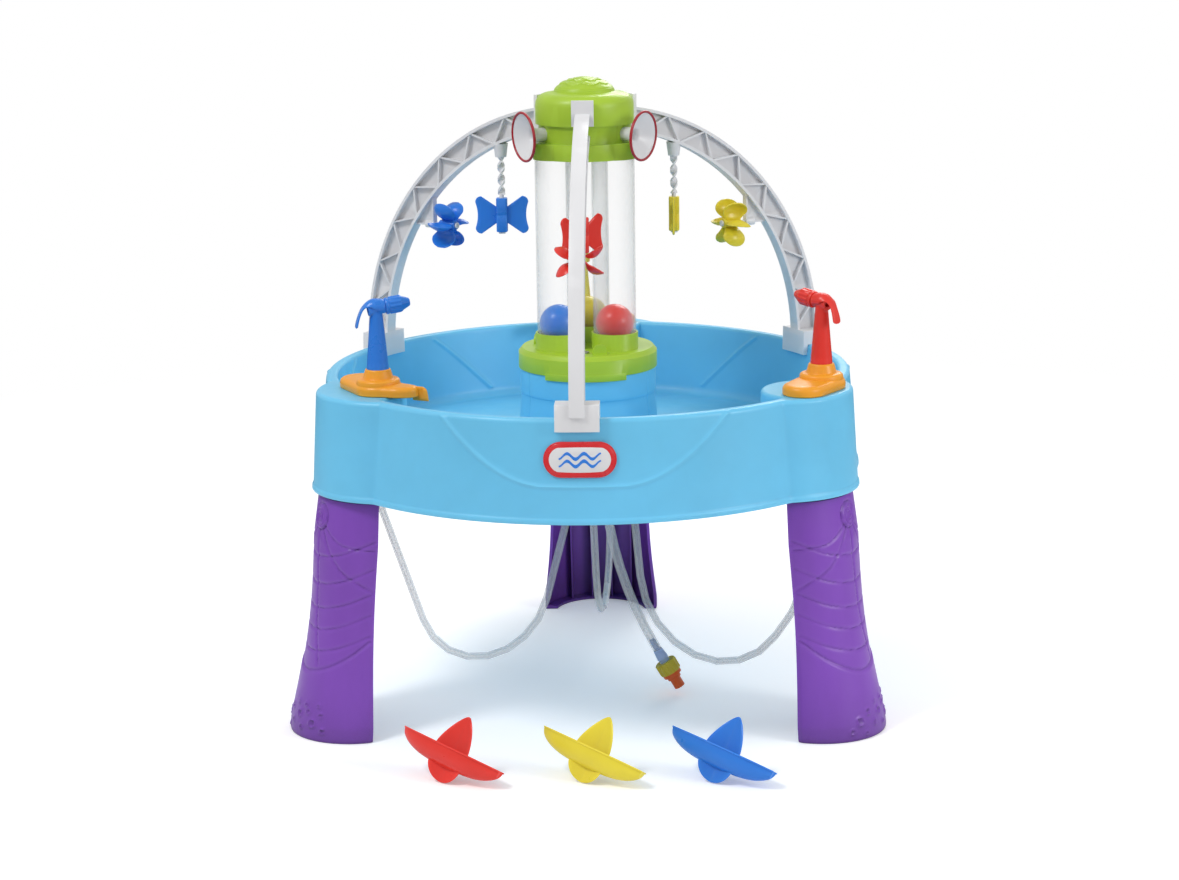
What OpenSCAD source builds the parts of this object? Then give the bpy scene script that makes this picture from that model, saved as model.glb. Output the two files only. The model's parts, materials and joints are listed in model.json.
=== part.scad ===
// Sand and water table for children: a three-sided basin on three legs, a clear ball
// tower in the middle, three spinner arms, three water blasters, hoses and toy boats.
// Frame: origin on the floor under the tower's axis, +Z up, front of the table at -Y.
// Directions around the tower are angles in degrees from +X, counter-clockwise.

/* [Basin] */
// Height of the basin's rim above the floor
rim_z = 445; // [430:1:460]
// Height of the outer skirt
skirt_h = 130; // [125:1:135]
// Depth of the water basin
basin_depth = 100; // [90:1:104]
// Distance from the tower's axis to the middle of each curved side, at the rim
side_reach = 348; // [345:1:352]
// Width of the rim's top
rim_w = 15; // [13:0.5:17]
// Wall thickness of the basin
basin_wall = 3.2; // [2.8:0.2:3.6]

/* [Legs] */
// Half the width of a leg at its top
leg_half_w = 76; // [74:0.5:77]
// How far a leg's foot stands out from the tower's axis
foot_reach = 438; // [430:1:440]
// Wall thickness of a leg
leg_wall = 4; // [3:0.5:5]

/* [Tower] */
// Outer diameter of a ball tube
tube_d = 57; // [56.6:0.1:57.2]
// Distance from the tower's axis to a tube's axis
tube_reach = 43; // [42.5:0.1:43.5]
// Diameter of a ball
ball_d = 50.8; // [49:0.1:51.5]
// Height of the cap's underside above the basin's rim
cap_rise = 281; // [275:1:290]

/* [Arms] */
// Outer radius of the arched arms
arm_r = 344; // [342:1:346]
// Radial depth of an arm
arm_depth = 33; // [31:1:34]
// Width of an arm's flanges
arm_w = 19; // [17:1:20]

/* [Spinners] */
// Distance from the tower's axis to a bow-tie paddle
paddle_reach = 134.5; // [132:0.5:137]
// Half the width of a bow-tie paddle
paddle_half_w = 36; // [32:1:37]
// Distance from the tower's axis to a pinwheel
pinwheel_reach = 223.5; // [222:0.5:225]
// Radius of a pinwheel
pinwheel_r = 34; // [30:1:35]

/* [Blasters] */
// Length of a blaster's tapered stem
stem_h = 70; // [66:1:76]
// Turn of a resting blaster away from pointing straight at the tower
head_turn = -14; // [-20:1:20]
// Upward tilt of the blaster's head in degrees
head_tilt = 8; // [4:1:10]

/* [Boats] */
// Length of a boat
boat_l = 150; // [140:1:152]
// Distance from the tower's axis forward to the row of boats
boat_row = 393; // [385:1:400]

/* [Hidden] */
$fn = 96;

// Colours of the moulded plastics
SKY = [0.47, 0.78, 0.93];
PURPLE = [0.52, 0.32, 0.74];
GREEN = [0.66, 0.79, 0.22];
ORANGE = [0.95, 0.64, 0.2];
BLUE = [0.2, 0.5, 0.88];
RED = [0.9, 0.23, 0.18];
YELLOW = [0.91, 0.84, 0.2];
WHITE = [0.87, 0.87, 0.88];
CLEAR = [0.9, 0.93, 0.93, 0.4];
STEEL = [0.7, 0.7, 0.72];
BLACK = [0.1, 0.1, 0.1];
NUT_YELLOW = [0.8, 0.7, 0.2];
CONNECTOR_ORANGE = [0.88, 0.38, 0.12];
BARB_BLUE = [0.66, 0.75, 0.9];

// Directions: the corners carry legs, blasters, tubes and funnels, the sides carry arms
LEFT = 210;
RIGHT = 330;
BACK = 90;
CORNERS = [LEFT, RIGHT, BACK];
SIDE_FRONT = 270;
SIDE_LEFT = 150;
SIDE_RIGHT = 30;
SIDES = [SIDE_FRONT, SIDE_LEFT, SIDE_RIGHT];

// Gaps between pieces: a shaft in its bore, and two pieces that only touch
run_gap = 0.06;
seat_gap = 0.05;

// Basin
skirt_z = rim_z - skirt_h;
floor_z = rim_z - basin_depth;
skirt_flare = 12;
inner_draft = 13;
curve_shift = 12;
lobe_reach = 285;
lobe_r = 100;
lobe_flare = 8;
shelf_reach = 335;
shelf_r = 62;
pedestal_r = 91;
pedestal_step_z = rim_z - 32;
collar_seat_z = rim_z + 1;
pedestal_top_z = rim_z + 17;
pedestal_neck_r = 88;
drain_r = 9.5;
drain_place = [180, -126];
spigot_reach = 322;
spigot_angles = [LEFT, RIGHT, BACK - 4];

// Legs: round-faced channels that lean outward toward the floor
leg_top_z = skirt_z + 18;
leg_plate_t = 4;
leg_inset = 5;
leg_lean = 9.2;
leg_chord = 365;
leg_chord_lean = 23 / skirt_z;
boss_reach = 360;
boss_side = 38;
boss_r = 7;
screw_r = 2;

// Tower
collar_r = 92.8;
collar_top_z = rim_z + 28;
ring_r = 31;
ring_top_z = rim_z + 50;
tube_foot_z = rim_z + 31;
ball_seat_z = rim_z + 36;
cap_z = rim_z + cap_rise;
tube_seat = 5.5;
cap_flange_r = 65;
cap_flange_h = 21.5;
cap_neck_r = 61;
cap_body_r = 65;
cap_body_low = 45;
cap_wall = 3;
cap_lobe_r = 30.4;
funnel_z = cap_z + 33.3;
funnel_root = 52;
funnel_l = 38.5;
funnel_stem_r = 9.3;
funnel_mouth_r = 32.5;
funnel_tilt = 3;

// Arms: arcs whose centre lies a little out from the tower's axis, just above the rim
arm_centre = 15.5;
arm_centre_z = rim_z + 4;
arm_inner_r = arm_r - arm_depth;
flange_t = 4;
web_t = 3.2;
arm_sweep = 81;
arm_bays = 14;
clip_w = 55;
clip_top_z = rim_z + 19;
clip_bottom_z = rim_z - 14;
hook_w = 29;
hook_low_z = cap_z + 46.5;
hook_top_z = cap_z + 80;
hook_t = 5;
rod_pin_r = 3;
rod_top_z = rim_z + 274;
rod_low_z = rim_z + 223;
paddle_low_z = rim_z + 172.5;
paddle_h = 46;
spinner_z = rim_z + 176;
axle_r = 2.5;
axle_root = 248;

// Blasters
stem_z = rim_z + 32;
head_z = stem_z + stem_h + 8.5;
// Each blaster's distance from the tower's axis and its sideways offset, by corner
blaster_places = [[LEFT, 316, 23], [RIGHT, 343, 17], [BACK, 327, 22]];
spigot_r = 9;
stem_foot_r = 14.3;
stem_top_r = 8.2;
head_r = 8.5;
trigger_pin_r = 2;
trigger_pivot = [7, 0, 3.5];
channel_r = 3;
nozzle_root = 12;
nozzle_pin_r = 5;
nozzle_r = 11.5;

// Hoses: routes are points in an upright plane, as distance from the axis and height
hose_r = 5;
hose_bore_r = 3.2;
feed_r = 6.2;
feed_bore_r = 4.2;
barb_gap = 0.1;
port_z = rim_z - 145;
hose_top_z = rim_z - 15;
loop_route = [[16, port_z], [155, -154], [spigot_reach, 330], [spigot_reach, hose_top_z]];
loop_bends = [97, 60];
side_route = [[65, port_z], [110, -139], [spigot_reach, 160], [spigot_reach, hose_top_z]];
side_bends = [114, 95];
feed_plane = -50;
feed_route = [[21, port_z], [27.6, 173.2], [91.3, 62]];
feed_bends = [520];
feed_end = feed_route[2];
feed_lean = atan2(feed_route[2].x - feed_route[1].x, feed_route[1].y - feed_route[2].y);

// Boats
boat_beam = 44;
boat_depth = 26;
boat_skin = 2;
boat_spots = [-156, 18, 178];
boat_mid_z = 38.5;
boat_tilt = [-30.6, 12.9, -31.6];

// ---------------------------------------------------------------- shared shapes

module at(angle) rotate([0, 0, angle]) children();

// A tapered block with three outward-curved sides; reach is the distance to a side's middle
module three_sided(low, high, low_reach, high_reach) {
    module side(angle) at(angle) translate([-curve_shift, 0, low])
        cylinder(h = high - low, r1 = low_reach + curve_shift, r2 = high_reach + curve_shift, $fn = 180);
    intersection() {
        side(SIDE_FRONT);
        side(SIDE_LEFT);
        side(SIDE_RIGHT);
    }
}

// One tapered round column in each corner
module corner_columns(reach, low, high, low_r, high_r)
    for (corner = CORNERS) at(corner) translate([reach, 0, low])
        cylinder(h = high - low, r1 = low_r, r2 = high_r);

// Triangles that join consecutive rings of points, each ring counter-clockwise from above
function ring_sides(levels, count, first) = [
    for (level = [0:levels - 2], i = [0:count - 1], half = [0, 1])
        let (j = (i + 1) % count, low = first + level * count, high = low + count)
            half == 0 ? [low + i, high + i, high + j] : [low + i, high + j, low + j]
];
function reversed(list) = [for (i = [len(list) - 1:-1:0]) list[i]];

// Points of a flat route with its corners rounded to the given bend radii
function bend_points(before, corner, after, bend, steps) =
    let (
        u = (before - corner) / norm(before - corner),
        v = (after - corner) / norm(after - corner),
        inside = acos(u * v),
        centre = corner + (u + v) / norm(u + v) * bend / sin(inside / 2),
        start = corner + u * bend / tan(inside / 2) - centre,
        hand = u.x * v.y - u.y * v.x > 0 ? -1 : 1
    )
    [for (i = [0:steps]) let (t = hand * (180 - inside) * i / steps)
        centre + [start.x * cos(t) - start.y * sin(t), start.x * sin(t) + start.y * cos(t)]];
function bent_route(route, bends, steps) = concat(
    [route[0]],
    [for (i = [1:len(route) - 2]) each bend_points(route[i - 1], route[i], route[i + 1], bends[i - 1], steps)],
    [route[len(route) - 1]]);
function heading(path, i) =
    let (from = path[max(i - 1, 0)], to = path[min(i + 1, len(path) - 1)]) atan2(to.y - from.y, to.x - from.x);
function hose_rings(path, r, count) = [
    for (i = [0:len(path) - 1], k = [0:count - 1]) let (h = heading(path, i), a = 360 * k / count)
        [path[i].x - r * sin(a) * sin(h), r * cos(a), path[i].y + r * sin(a) * cos(h)]
];

// A bored hose along a flat route that stands in the XZ plane
module hose(route, bends, r, bore_r) {
    count = 12;
    path = bent_route(route, bends, 8);
    levels = len(path);
    inner = levels * count;
    top = inner - count;
    ends = [for (i = [0:count - 1]) let (j = (i + 1) % count)
        each [[i, j, inner + j, inner + i], [top + j, top + i, inner + top + i, inner + top + j]]];
    polyhedron(
        points = concat(hose_rings(path, r, count), hose_rings(path, bore_r, count)),
        faces = concat(ring_sides(levels, count, 0),
                       [for (side = ring_sides(levels, count, inner)) reversed(side)], ends));
}

// ---------------------------------------------------------------- basin

module basin_block(inset) {
    low = inset > 0 ? skirt_z - 1 : skirt_z;
    high = rim_z - inset;
    three_sided(low, high, side_reach + skirt_flare - inset, side_reach - inset);
    corner_columns(lobe_reach, low, high, lobe_r + lobe_flare - inset, lobe_r - inset);
}

module water_space(outset) {
    reach = side_reach - rim_w + outset;
    difference() {
        three_sided(floor_z - outset, rim_z + 1, reach - inner_draft, reach);
        corner_columns(shelf_reach, floor_z - 10, rim_z + 2, shelf_r + 4 - outset, shelf_r - outset);
    }
}

module pedestal_block(inset) {
    translate([0, 0, floor_z - 4])
        cylinder(h = pedestal_step_z - floor_z + 4, r1 = pedestal_r + 4 - inset, r2 = pedestal_r - 1.5 - inset);
    translate([0, 0, pedestal_step_z - inset])
        cylinder(h = collar_seat_z - pedestal_step_z, r = pedestal_r - inset);
    translate([0, 0, pedestal_step_z])
        cylinder(h = pedestal_top_z - pedestal_step_z - inset, r = pedestal_neck_r - inset);
}

module screw_places() for (corner = CORNERS, side = [-1, 1])
    at(corner) translate([boss_reach, side * boss_side, 0]) children();

module basin() color(SKY) {
    difference() {
        union() {
            difference() {
                basin_block(0);
                water_space(0);
            }
            pedestal_block(0);
        }
        difference() {
            basin_block(basin_wall);
            difference() {
                water_space(basin_wall);
                translate([0, 0, -0.5]) pedestal_block(basin_wall);
            }
            screw_places() translate([0, 0, leg_top_z + seat_gap]) difference() {
                cylinder(h = rim_z - leg_top_z, r = boss_r);
                translate([0, 0, -1]) cylinder(h = 30, r = screw_r + seat_gap);
            }
        }
        pedestal_block(basin_wall);
        for (angle = spigot_angles) at(angle) translate([spigot_reach, 0, rim_z - 10])
            cylinder(h = 20, r = spigot_r - 3);
        translate([drain_place.x, drain_place.y, floor_z - 10]) cylinder(h = 20, r = drain_r);
        for (side = SIDES) at(side) translate([62, 0, pedestal_top_z - 10])
            cylinder(h = 20, r = screw_r + seat_gap);
    }
}

module drain_plug() color(WHITE) translate([drain_place.x, drain_place.y, floor_z]) {
    translate([0, 0, seat_gap]) cylinder(h = 3.5, r = drain_r + 4.5);
    translate([0, 0, -9]) cylinder(h = 10, r = drain_r - run_gap);
    translate([0, 0, 3]) difference() {
        cylinder(h = 7, r = 4);
        translate([0, 5, 4]) rotate([90, 0, 0]) cylinder(h = 10, r = 2);
    }
}

// A stadium-shaped plate that follows the front of the skirt
module badge() {
    mid_z = rim_z - 49;
    half_l = 23;
    end_r = 22;
    module skirt_skin(grow) at(SIDE_FRONT) translate([-curve_shift, 0, skirt_z])
        cylinder(h = skirt_h, r1 = side_reach + skirt_flare + curve_shift + grow,
                 r2 = side_reach + curve_shift + grow, $fn = 180);
    color(RED) intersection() {
        difference() {
            skirt_skin(2);
            skirt_skin(seat_gap);
        }
        translate([3, -side_reach + 20, mid_z]) rotate([90, 0, 0]) linear_extrude(60) {
            square([2 * half_l, 2 * end_r], center = true);
            for (end = [-1, 1]) translate([end * half_l, 0]) circle(r = end_r);
        }
    }
}

// ---------------------------------------------------------------- legs

// Radius of a leg's round face at a distance along its leaning axis, slimmest at the waist
function leg_r(run) = leg_half_w + 9 - (run > 20 && run < 260 ? 7 * sin(180 * (run - 20) / 240) : 0);

// Solid of revolution around the leg's leaning axis, cut flat on the side that faces the tower
module leg_form(inset, low, high, side_cut) intersection() {
    translate([foot_reach - (leg_half_w + 9) / cos(leg_lean), 0, 0]) rotate([0, -leg_lean, 0])
        rotate_extrude() polygon(concat(
            [[0, -20]],
            [for (run = [-20:20:340]) [leg_r(run) - inset - (run > skirt_z + 5 ? leg_inset : 0), run]],
            [[0, 340]]));
    rotate([90, 0, 0]) translate([0, 0, -150]) linear_extrude(300) polygon([
        [leg_chord - side_cut, low], [600, low], [600, high], [leg_chord - leg_chord_lean * high - side_cut, high]
    ]);
}

module leg(corner) color(PURPLE) at(corner) difference() {
    leg_form(0, 0, leg_top_z, 0);
    leg_form(18, -1, 4, 5);
    difference() {
        leg_form(leg_wall, 4, leg_top_z - leg_plate_t, 5);
        // Stiffening ribs on the inside
        difference() {
            for (side = [-45, -15, 15, 45]) translate([0, side - 1.5, 0]) cube([500, 3, leg_top_z]);
            leg_form(leg_wall + 12, 3, leg_top_z - 3, 6);
        }
    }
    for (side = [-1, 1]) translate([boss_reach, side * boss_side, leg_top_z - 10])
        cylinder(h = 20, r = screw_r + seat_gap);
}

module leg_screws() color(STEEL) screw_places() {
    translate([0, 0, leg_top_z - 8]) cylinder(h = 26, r = screw_r);
    translate([0, 0, leg_top_z - leg_plate_t - 3 - seat_gap]) cylinder(h = 3, r = 4.5);
}

// ---------------------------------------------------------------- tower

module tube_places() for (corner = CORNERS) at(corner) translate([tube_reach, 0, 0]) children();

module tower_collar() color(GREEN) {
    difference() {
        union() {
            difference() {
                translate([0, 0, collar_seat_z + seat_gap])
                    cylinder(h = collar_top_z - collar_seat_z - 6, r = collar_r);
                translate([0, 0, collar_seat_z - 1])
                    cylinder(h = pedestal_top_z - collar_seat_z + 1 + seat_gap, r = pedestal_neck_r + seat_gap);
            }
            translate([0, 0, collar_top_z - 6]) cylinder(h = 6, r1 = collar_r, r2 = collar_r - 5);
            tube_places() translate([0, 0, collar_top_z - 2]) cylinder(h = ring_top_z - collar_top_z + 2, r = ring_r);
            // Front lug that reaches down over the pedestal
            at(SIDE_FRONT - 35) translate([0, 0, rim_z - 5]) rotate_extrude(angle = 70)
                translate([pedestal_r + seat_gap, 0]) square([collar_r + 0.7 - pedestal_r, 9]);
            // Upright thumb tabs between the rings
            for (side = SIDES) at(side + 15) translate([70, 0, collar_top_z - 1]) rotate([0, 90, 0])
                translate([-4, 0, 0]) cylinder(h = 3, r = 10);
        }
        translate([0, 0, collar_seat_z - 1])
            cylinder(h = pedestal_top_z - collar_seat_z + 1 + seat_gap, r = pedestal_neck_r + seat_gap);
        tube_places() difference() {
            translate([0, 0, tube_foot_z]) cylinder(h = 30, r = tube_d / 2 + seat_gap);
            cylinder(h = ball_seat_z - seat_gap, r = tube_d / 2 - 1.8);
        }
        tube_places() for (hole = [45:90:315]) at(hole) translate([12, 0, pedestal_top_z]) cylinder(h = 30, r = 3);
        for (side = SIDES) at(side) translate([62, 0, pedestal_top_z - 1]) cylinder(h = 40, r = screw_r + seat_gap);
    }
}

module tower_screws() color(STEEL) for (side = SIDES) at(side) translate([62, 0, 0]) {
    translate([0, 0, pedestal_top_z - 9]) cylinder(h = collar_top_z - pedestal_top_z + 10, r = screw_r);
    translate([0, 0, collar_top_z + seat_gap]) cylinder(h = 2.5, r = 4.5);
}

module tube(corner) color(CLEAR) at(corner) translate([tube_reach, 0, tube_foot_z + seat_gap]) difference() {
    length = cap_z + tube_seat - tube_foot_z - 2 * seat_gap;
    cylinder(h = length, r = tube_d / 2);
    translate([0, 0, -1]) cylinder(h = length + 2, r = tube_d / 2 - 1.5);
}

module ball(corner, shade) color(shade) at(corner)
    translate([tube_reach, 0, ball_seat_z + ball_d / 2 + seat_gap]) sphere(d = ball_d);

// Turns a child pointing along +Z into one pointing outward through a funnel's stem
module funnel_axis(corner) at(corner) translate([funnel_root, 0, funnel_z]) rotate([0, 90 + funnel_tilt, 0]) children();

function quarter(cx, cy, r, from, to, steps) =
    [for (i = [0:steps]) let (t = from + (to - from) * i / steps) [cx + r * cos(t), cy + r * sin(t)]];

module tower_cap() color(GREEN) {
    shoulder_r = 16;
    shoulder_z = 69;
    dome_r = 36;
    dome_z = 89;
    dome_h = 16.6;
    // Radius of the sphere the dome is cut from, and half the angle it spans
    dome_ball_r = (dome_r * dome_r + dome_h * dome_h) / (2 * dome_h);
    dome_span = asin(dome_r / dome_ball_r);
    body_in = cap_body_r - shoulder_r;
    outline = concat(
        [[0, 0], [cap_flange_r, 0], [cap_flange_r, cap_flange_h], [cap_neck_r, cap_flange_h],
         [cap_neck_r, cap_body_low], [cap_body_r, cap_body_low]],
        quarter(body_in, shoulder_z, shoulder_r, 0, 90, 6),
        [[dome_r + 5, dome_z - 2.5]],
        quarter(0, dome_z + dome_h - dome_ball_r, dome_ball_r, 90 - dome_span, 90, 6));
    hollow = concat(
        [[0, 15], [cap_neck_r - cap_wall, 15], [cap_neck_r - cap_wall, cap_body_low + cap_wall],
         [cap_body_r - cap_wall, cap_body_low + cap_wall]],
        quarter(body_in, shoulder_z, shoulder_r - cap_wall, 0, 90, 4),
        [[0, shoulder_z + shoulder_r - cap_wall]]);
    translate([0, 0, cap_z]) difference() {
        union() {
            rotate_extrude() polygon(outline);
            tube_places() cylinder(h = cap_flange_h, r = cap_lobe_r);
        }
        rotate_extrude() polygon(hollow);
        tube_places() {
            translate([0, 0, -1]) cylinder(h = tube_seat + 1, r = tube_d / 2 + seat_gap);
            cylinder(h = cap_flange_h - cap_wall, r = tube_d / 2 - 1.7);
        }
        // Slots for the arms' tongues
        for (side = SIDES) at(side) translate([cap_body_r - 6, -9.5, hook_top_z - cap_z - 18])
            cube([10, 19, 5]);
        translate([0, 0, -cap_z]) for (corner = CORNERS) funnel_axis(corner)
            translate([0, 0, -3]) cylinder(h = 15, r = funnel_stem_r + seat_gap);
    }
}

module funnel(corner) color(WHITE) funnel_axis(corner) rotate_extrude() polygon([
    [6.8, 0], [funnel_stem_r, 0], [funnel_stem_r, 20], [11, 24], [20, 29.5], [funnel_mouth_r, funnel_l],
    [funnel_mouth_r - 2, funnel_l], [18.6, 31.5], [9, 26], [6.8, 22]
]);

module funnel_rims() color(RED) for (corner = CORNERS) funnel_axis(corner)
    translate([0, 0, funnel_l - 3]) rotate_extrude() translate([funnel_mouth_r + seat_gap, 0]) square([2.2, 3.5]);

// ---------------------------------------------------------------- arms and spinners

// Height of the arm's inner flange at a distance from the tower's axis
function arm_under_z(reach) = arm_centre_z + sqrt(arm_inner_r * arm_inner_r - pow(reach - arm_centre, 2));

module arm_beam() {
    module arc(r, depth, width) rotate_extrude(angle = arm_sweep, $fn = 240)
        translate([r, -width / 2]) square([depth, width]);
    translate([arm_centre, 0, arm_centre_z]) rotate([90, 0, 0]) {
        arc(arm_inner_r, flange_t, arm_w);
        arc(arm_r - flange_t, flange_t, arm_w);
        arc(arm_inner_r + 1, arm_depth - 2, web_t);
        for (bay = [0:arm_bays - 1]) {
            start = 4 + bay * (arm_sweep - 8) / arm_bays;
            end = start + (arm_sweep - 8) / arm_bays;
            near = bay % 2 == 0 ? arm_inner_r + 2 : arm_r - 2;
            far = bay % 2 == 0 ? arm_r - 2 : arm_inner_r + 2;
            a = near * [cos(start), sin(start)];
            b = far * [cos(end), sin(end)];
            translate([a.x, a.y, 0]) rotate([0, 0, atan2(b.y - a.y, b.x - a.x)])
                translate([0, -1.2, -arm_w / 2 + 1]) cube([norm(b - a), 2.4, arm_w - 2]);
        }
    }
}

// Saddle that straddles the rim, curved like the side it sits on
module rim_clip() {
    module ring(low, high, low_reach, high_reach) translate([-curve_shift, 0, low])
        cylinder(h = high - low, r1 = low_reach + curve_shift, r2 = high_reach + curve_shift, $fn = 180);
    drop = rim_z - clip_bottom_z;
    outer_run = drop * skirt_flare / skirt_h;
    inner_run = drop * inner_draft / basin_depth;
    grip_gap = 0.3;
    difference() {
        intersection() {
            difference() {
                ring(clip_bottom_z, clip_top_z, side_reach + 9, side_reach + 8);
                ring(clip_bottom_z - 1, clip_top_z + 1, side_reach - rim_w - 8, side_reach - rim_w - 7);
            }
            translate([side_reach - 50, -clip_w / 2, 0]) cube([100, clip_w, 2 * rim_z]);
        }
        difference() {
            ring(clip_bottom_z, rim_z + seat_gap, side_reach + outer_run + grip_gap, side_reach + grip_gap);
            ring(clip_bottom_z - 1, rim_z + 1, side_reach - rim_w - inner_run - grip_gap,
                 side_reach - rim_w - grip_gap);
        }
    }
}

module arm(side) color(WHITE) at(side) {
    arm_beam();
    rim_clip();
    // Hook plate on the cap, with its tongue in the cap's slot
    translate([cap_body_r + 0.3, -hook_w / 2, hook_low_z]) cube([hook_t, hook_w, hook_top_z - hook_low_z]);
    translate([cap_body_r - 5, -9, hook_top_z - 17]) cube([8, 18, 3]);
    // Socket for the twisted rod
    socket_h = arm_under_z(paddle_reach) - rod_top_z + 1;
    difference() {
        translate([paddle_reach, 0, rod_top_z]) cylinder(h = socket_h, r1 = 7.5, r2 = 10);
        translate([paddle_reach, 0, rod_top_z - 1]) cylinder(h = 11, r = 4 + seat_gap);
    }
    // Gusset that carries the pinwheel's axle
    inner_edge = pinwheel_reach + 22;
    low_edge = spinner_z - 1.5;
    outer_edge = arm_centre + sqrt(arm_inner_r * arm_inner_r - pow(low_edge - arm_centre_z, 2)) + 2;
    difference() {
        union() {
            translate([0, web_t / 2, 0]) rotate([90, 0, 0]) linear_extrude(web_t) polygon([
                [inner_edge, low_edge], [outer_edge, low_edge], [inner_edge, arm_under_z(inner_edge) + 2]
            ]);
            translate([inner_edge, -4.5, low_edge - 4]) cube([3, 9, arm_under_z(inner_edge) - low_edge + 5]);
            translate([inner_edge, -4.5, low_edge]) cube([outer_edge - inner_edge, 9, 2.4]);
            translate([inner_edge, 0, spinner_z]) rotate([0, 90, 0]) cylinder(h = 14, r = 5.5);
        }
        translate([inner_edge - 1, 0, spinner_z]) rotate([0, 90, 0]) cylinder(h = 11, r = axle_r + seat_gap);
    }
}

module twist_rod(side) color(WHITE) at(side) translate([paddle_reach, 0, 0]) {
    translate([0, 0, rod_top_z - 1]) cylinder(h = 10, r = 4);
    // Flat bar twisted one and a half turns
    turns = 36;
    bar_h = rod_top_z - rod_low_z - seat_gap;
    polyhedron(
        points = [for (i = [0:turns], corner = [[1, 1], [-1, 1], [-1, -1], [1, -1]])
            let (t = 540 * i / turns, x = corner.x * 4.75, y = corner.y * 1.6)
                [x * cos(t) - y * sin(t), x * sin(t) + y * cos(t), rod_low_z + bar_h * i / turns]],
        faces = concat(ring_sides(turns + 1, 4, 0),
                       [[0, 1, 2, 3], [4 * turns + 3, 4 * turns + 2, 4 * turns + 1, 4 * turns]]));
    translate([0, 0, paddle_low_z - 2.5]) cylinder(h = rod_low_z - paddle_low_z + 4, r = rod_pin_r);
    translate([0, 0, paddle_low_z - 2.5]) cylinder(h = 2.3, r = 4.6);
}

// Bow-tie paddle; its wings point along a world direction at rest
module paddle(side, wing_angle, shade) color(shade) at(side) translate([paddle_reach, 0, paddle_low_z])
    at(wing_angle - side) difference() {
        corner_r = 8;
        wing_half_h = 25.5;
        union() {
            translate([-7.5, -7, 0]) cube([15, 14, paddle_h]);
            for (wing = [0, 180]) at(wing) translate([0, 1.3, paddle_h / 2]) rotate([90, 0, 0]) linear_extrude(2.6) {
                polygon([[5, -11], [paddle_half_w - 12, 7 - wing_half_h], [paddle_half_w, corner_r - wing_half_h],
                         [paddle_half_w, wing_half_h - corner_r], [paddle_half_w - 12, wing_half_h - 7], [5, 11]]);
                for (end = [-1, 1]) translate([paddle_half_w - corner_r, end * (wing_half_h - corner_r)])
                    circle(r = corner_r);
            }
        }
        translate([0, 0, -1]) cylinder(h = paddle_h + 2, r = rod_pin_r + run_gap);
    }

module spinner_axis(side) at(side) translate([pinwheel_reach, 0, spinner_z]) rotate([0, 90, 0]) children();

// Water wheel with six round blades that stand in line with its axle
module pinwheel(side, turn, shade) color(shade) spinner_axis(side) difference() {
    blade_r = 13;
    union() {
        translate([0, 0, -blade_r]) cylinder(h = 2 * blade_r, r = 6);
        for (blade = [0:60:300]) at(blade + turn) {
            translate([pinwheel_r - blade_r, 1, 0]) rotate([90, 0, 0]) cylinder(h = 2, r = blade_r);
            translate([4, -1, -8]) cube([pinwheel_r - blade_r - 4, 2, 16]);
        }
    }
    translate([0, 0, -20]) cylinder(h = 40, r = axle_r + run_gap);
}

module pinwheel_axles() color(WHITE) for (side = SIDES) spinner_axis(side) {
    translate([0, 0, -14]) cylinder(h = axle_root - pinwheel_reach + 20, r = axle_r);
    translate([0, 0, -15.5]) cylinder(h = 2.5, r = 4);
}

// ---------------------------------------------------------------- blasters

// Puts a child on a blaster's upright axis, with +X outward from the tower
module blaster_place(which) at(blaster_places[which][0])
    translate([blaster_places[which][1], blaster_places[which][2], 0]) children();
// The same, turned to the way the blaster points at rest and raised to its head
module blaster_head(which) blaster_place(which) translate([0, 0, head_z]) at(head_turn) children();
// Points a child's +Z along the barrel, inward and slightly up
module barrel_axis(which) blaster_head(which) rotate([0, head_tilt - 90, 0]) children();

module blaster_base(which) color(ORANGE) {
    spigot_angle = spigot_angles[which];
    cone_z = 18;
    difference() {
        union() {
            blaster_place(which) translate([0, 0, rim_z + seat_gap]) {
                cylinder(h = 14, r = 31);
                translate([2, -50, 0]) cylinder(h = 13, r = 28);
                translate([-26, -50, 0]) cube([54, 50, 13]);
                translate([0, 0, 13]) cylinder(h = 6, r1 = 28, r2 = 24);
                translate([0, 0, cone_z]) cylinder(h = stem_z - rim_z - cone_z - seat_gap, r1 = 22, r2 = 16.5);
                // Overflow lug beside the stem
                translate([-14, 30, 0]) cylinder(h = 16, r = 18);
            }
            at(spigot_angle) translate([spigot_reach, 0, hose_top_z + 1]) cylinder(h = 20, r = spigot_r - 3.2);
        }
        blaster_place(which) translate([0, 0, rim_z + 7]) cylinder(h = 40, r = spigot_r + run_gap);
        // Outlet of the overflow lug
        blaster_place(which) translate([-26, 40, rim_z - 1]) rotate([0, 0, 30]) cube([16, 14, 12]);
    }
    at(spigot_angle) translate([spigot_reach, 0, hose_top_z - 16]) cylinder(h = 18, r = hose_bore_r - barb_gap);
}

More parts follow.
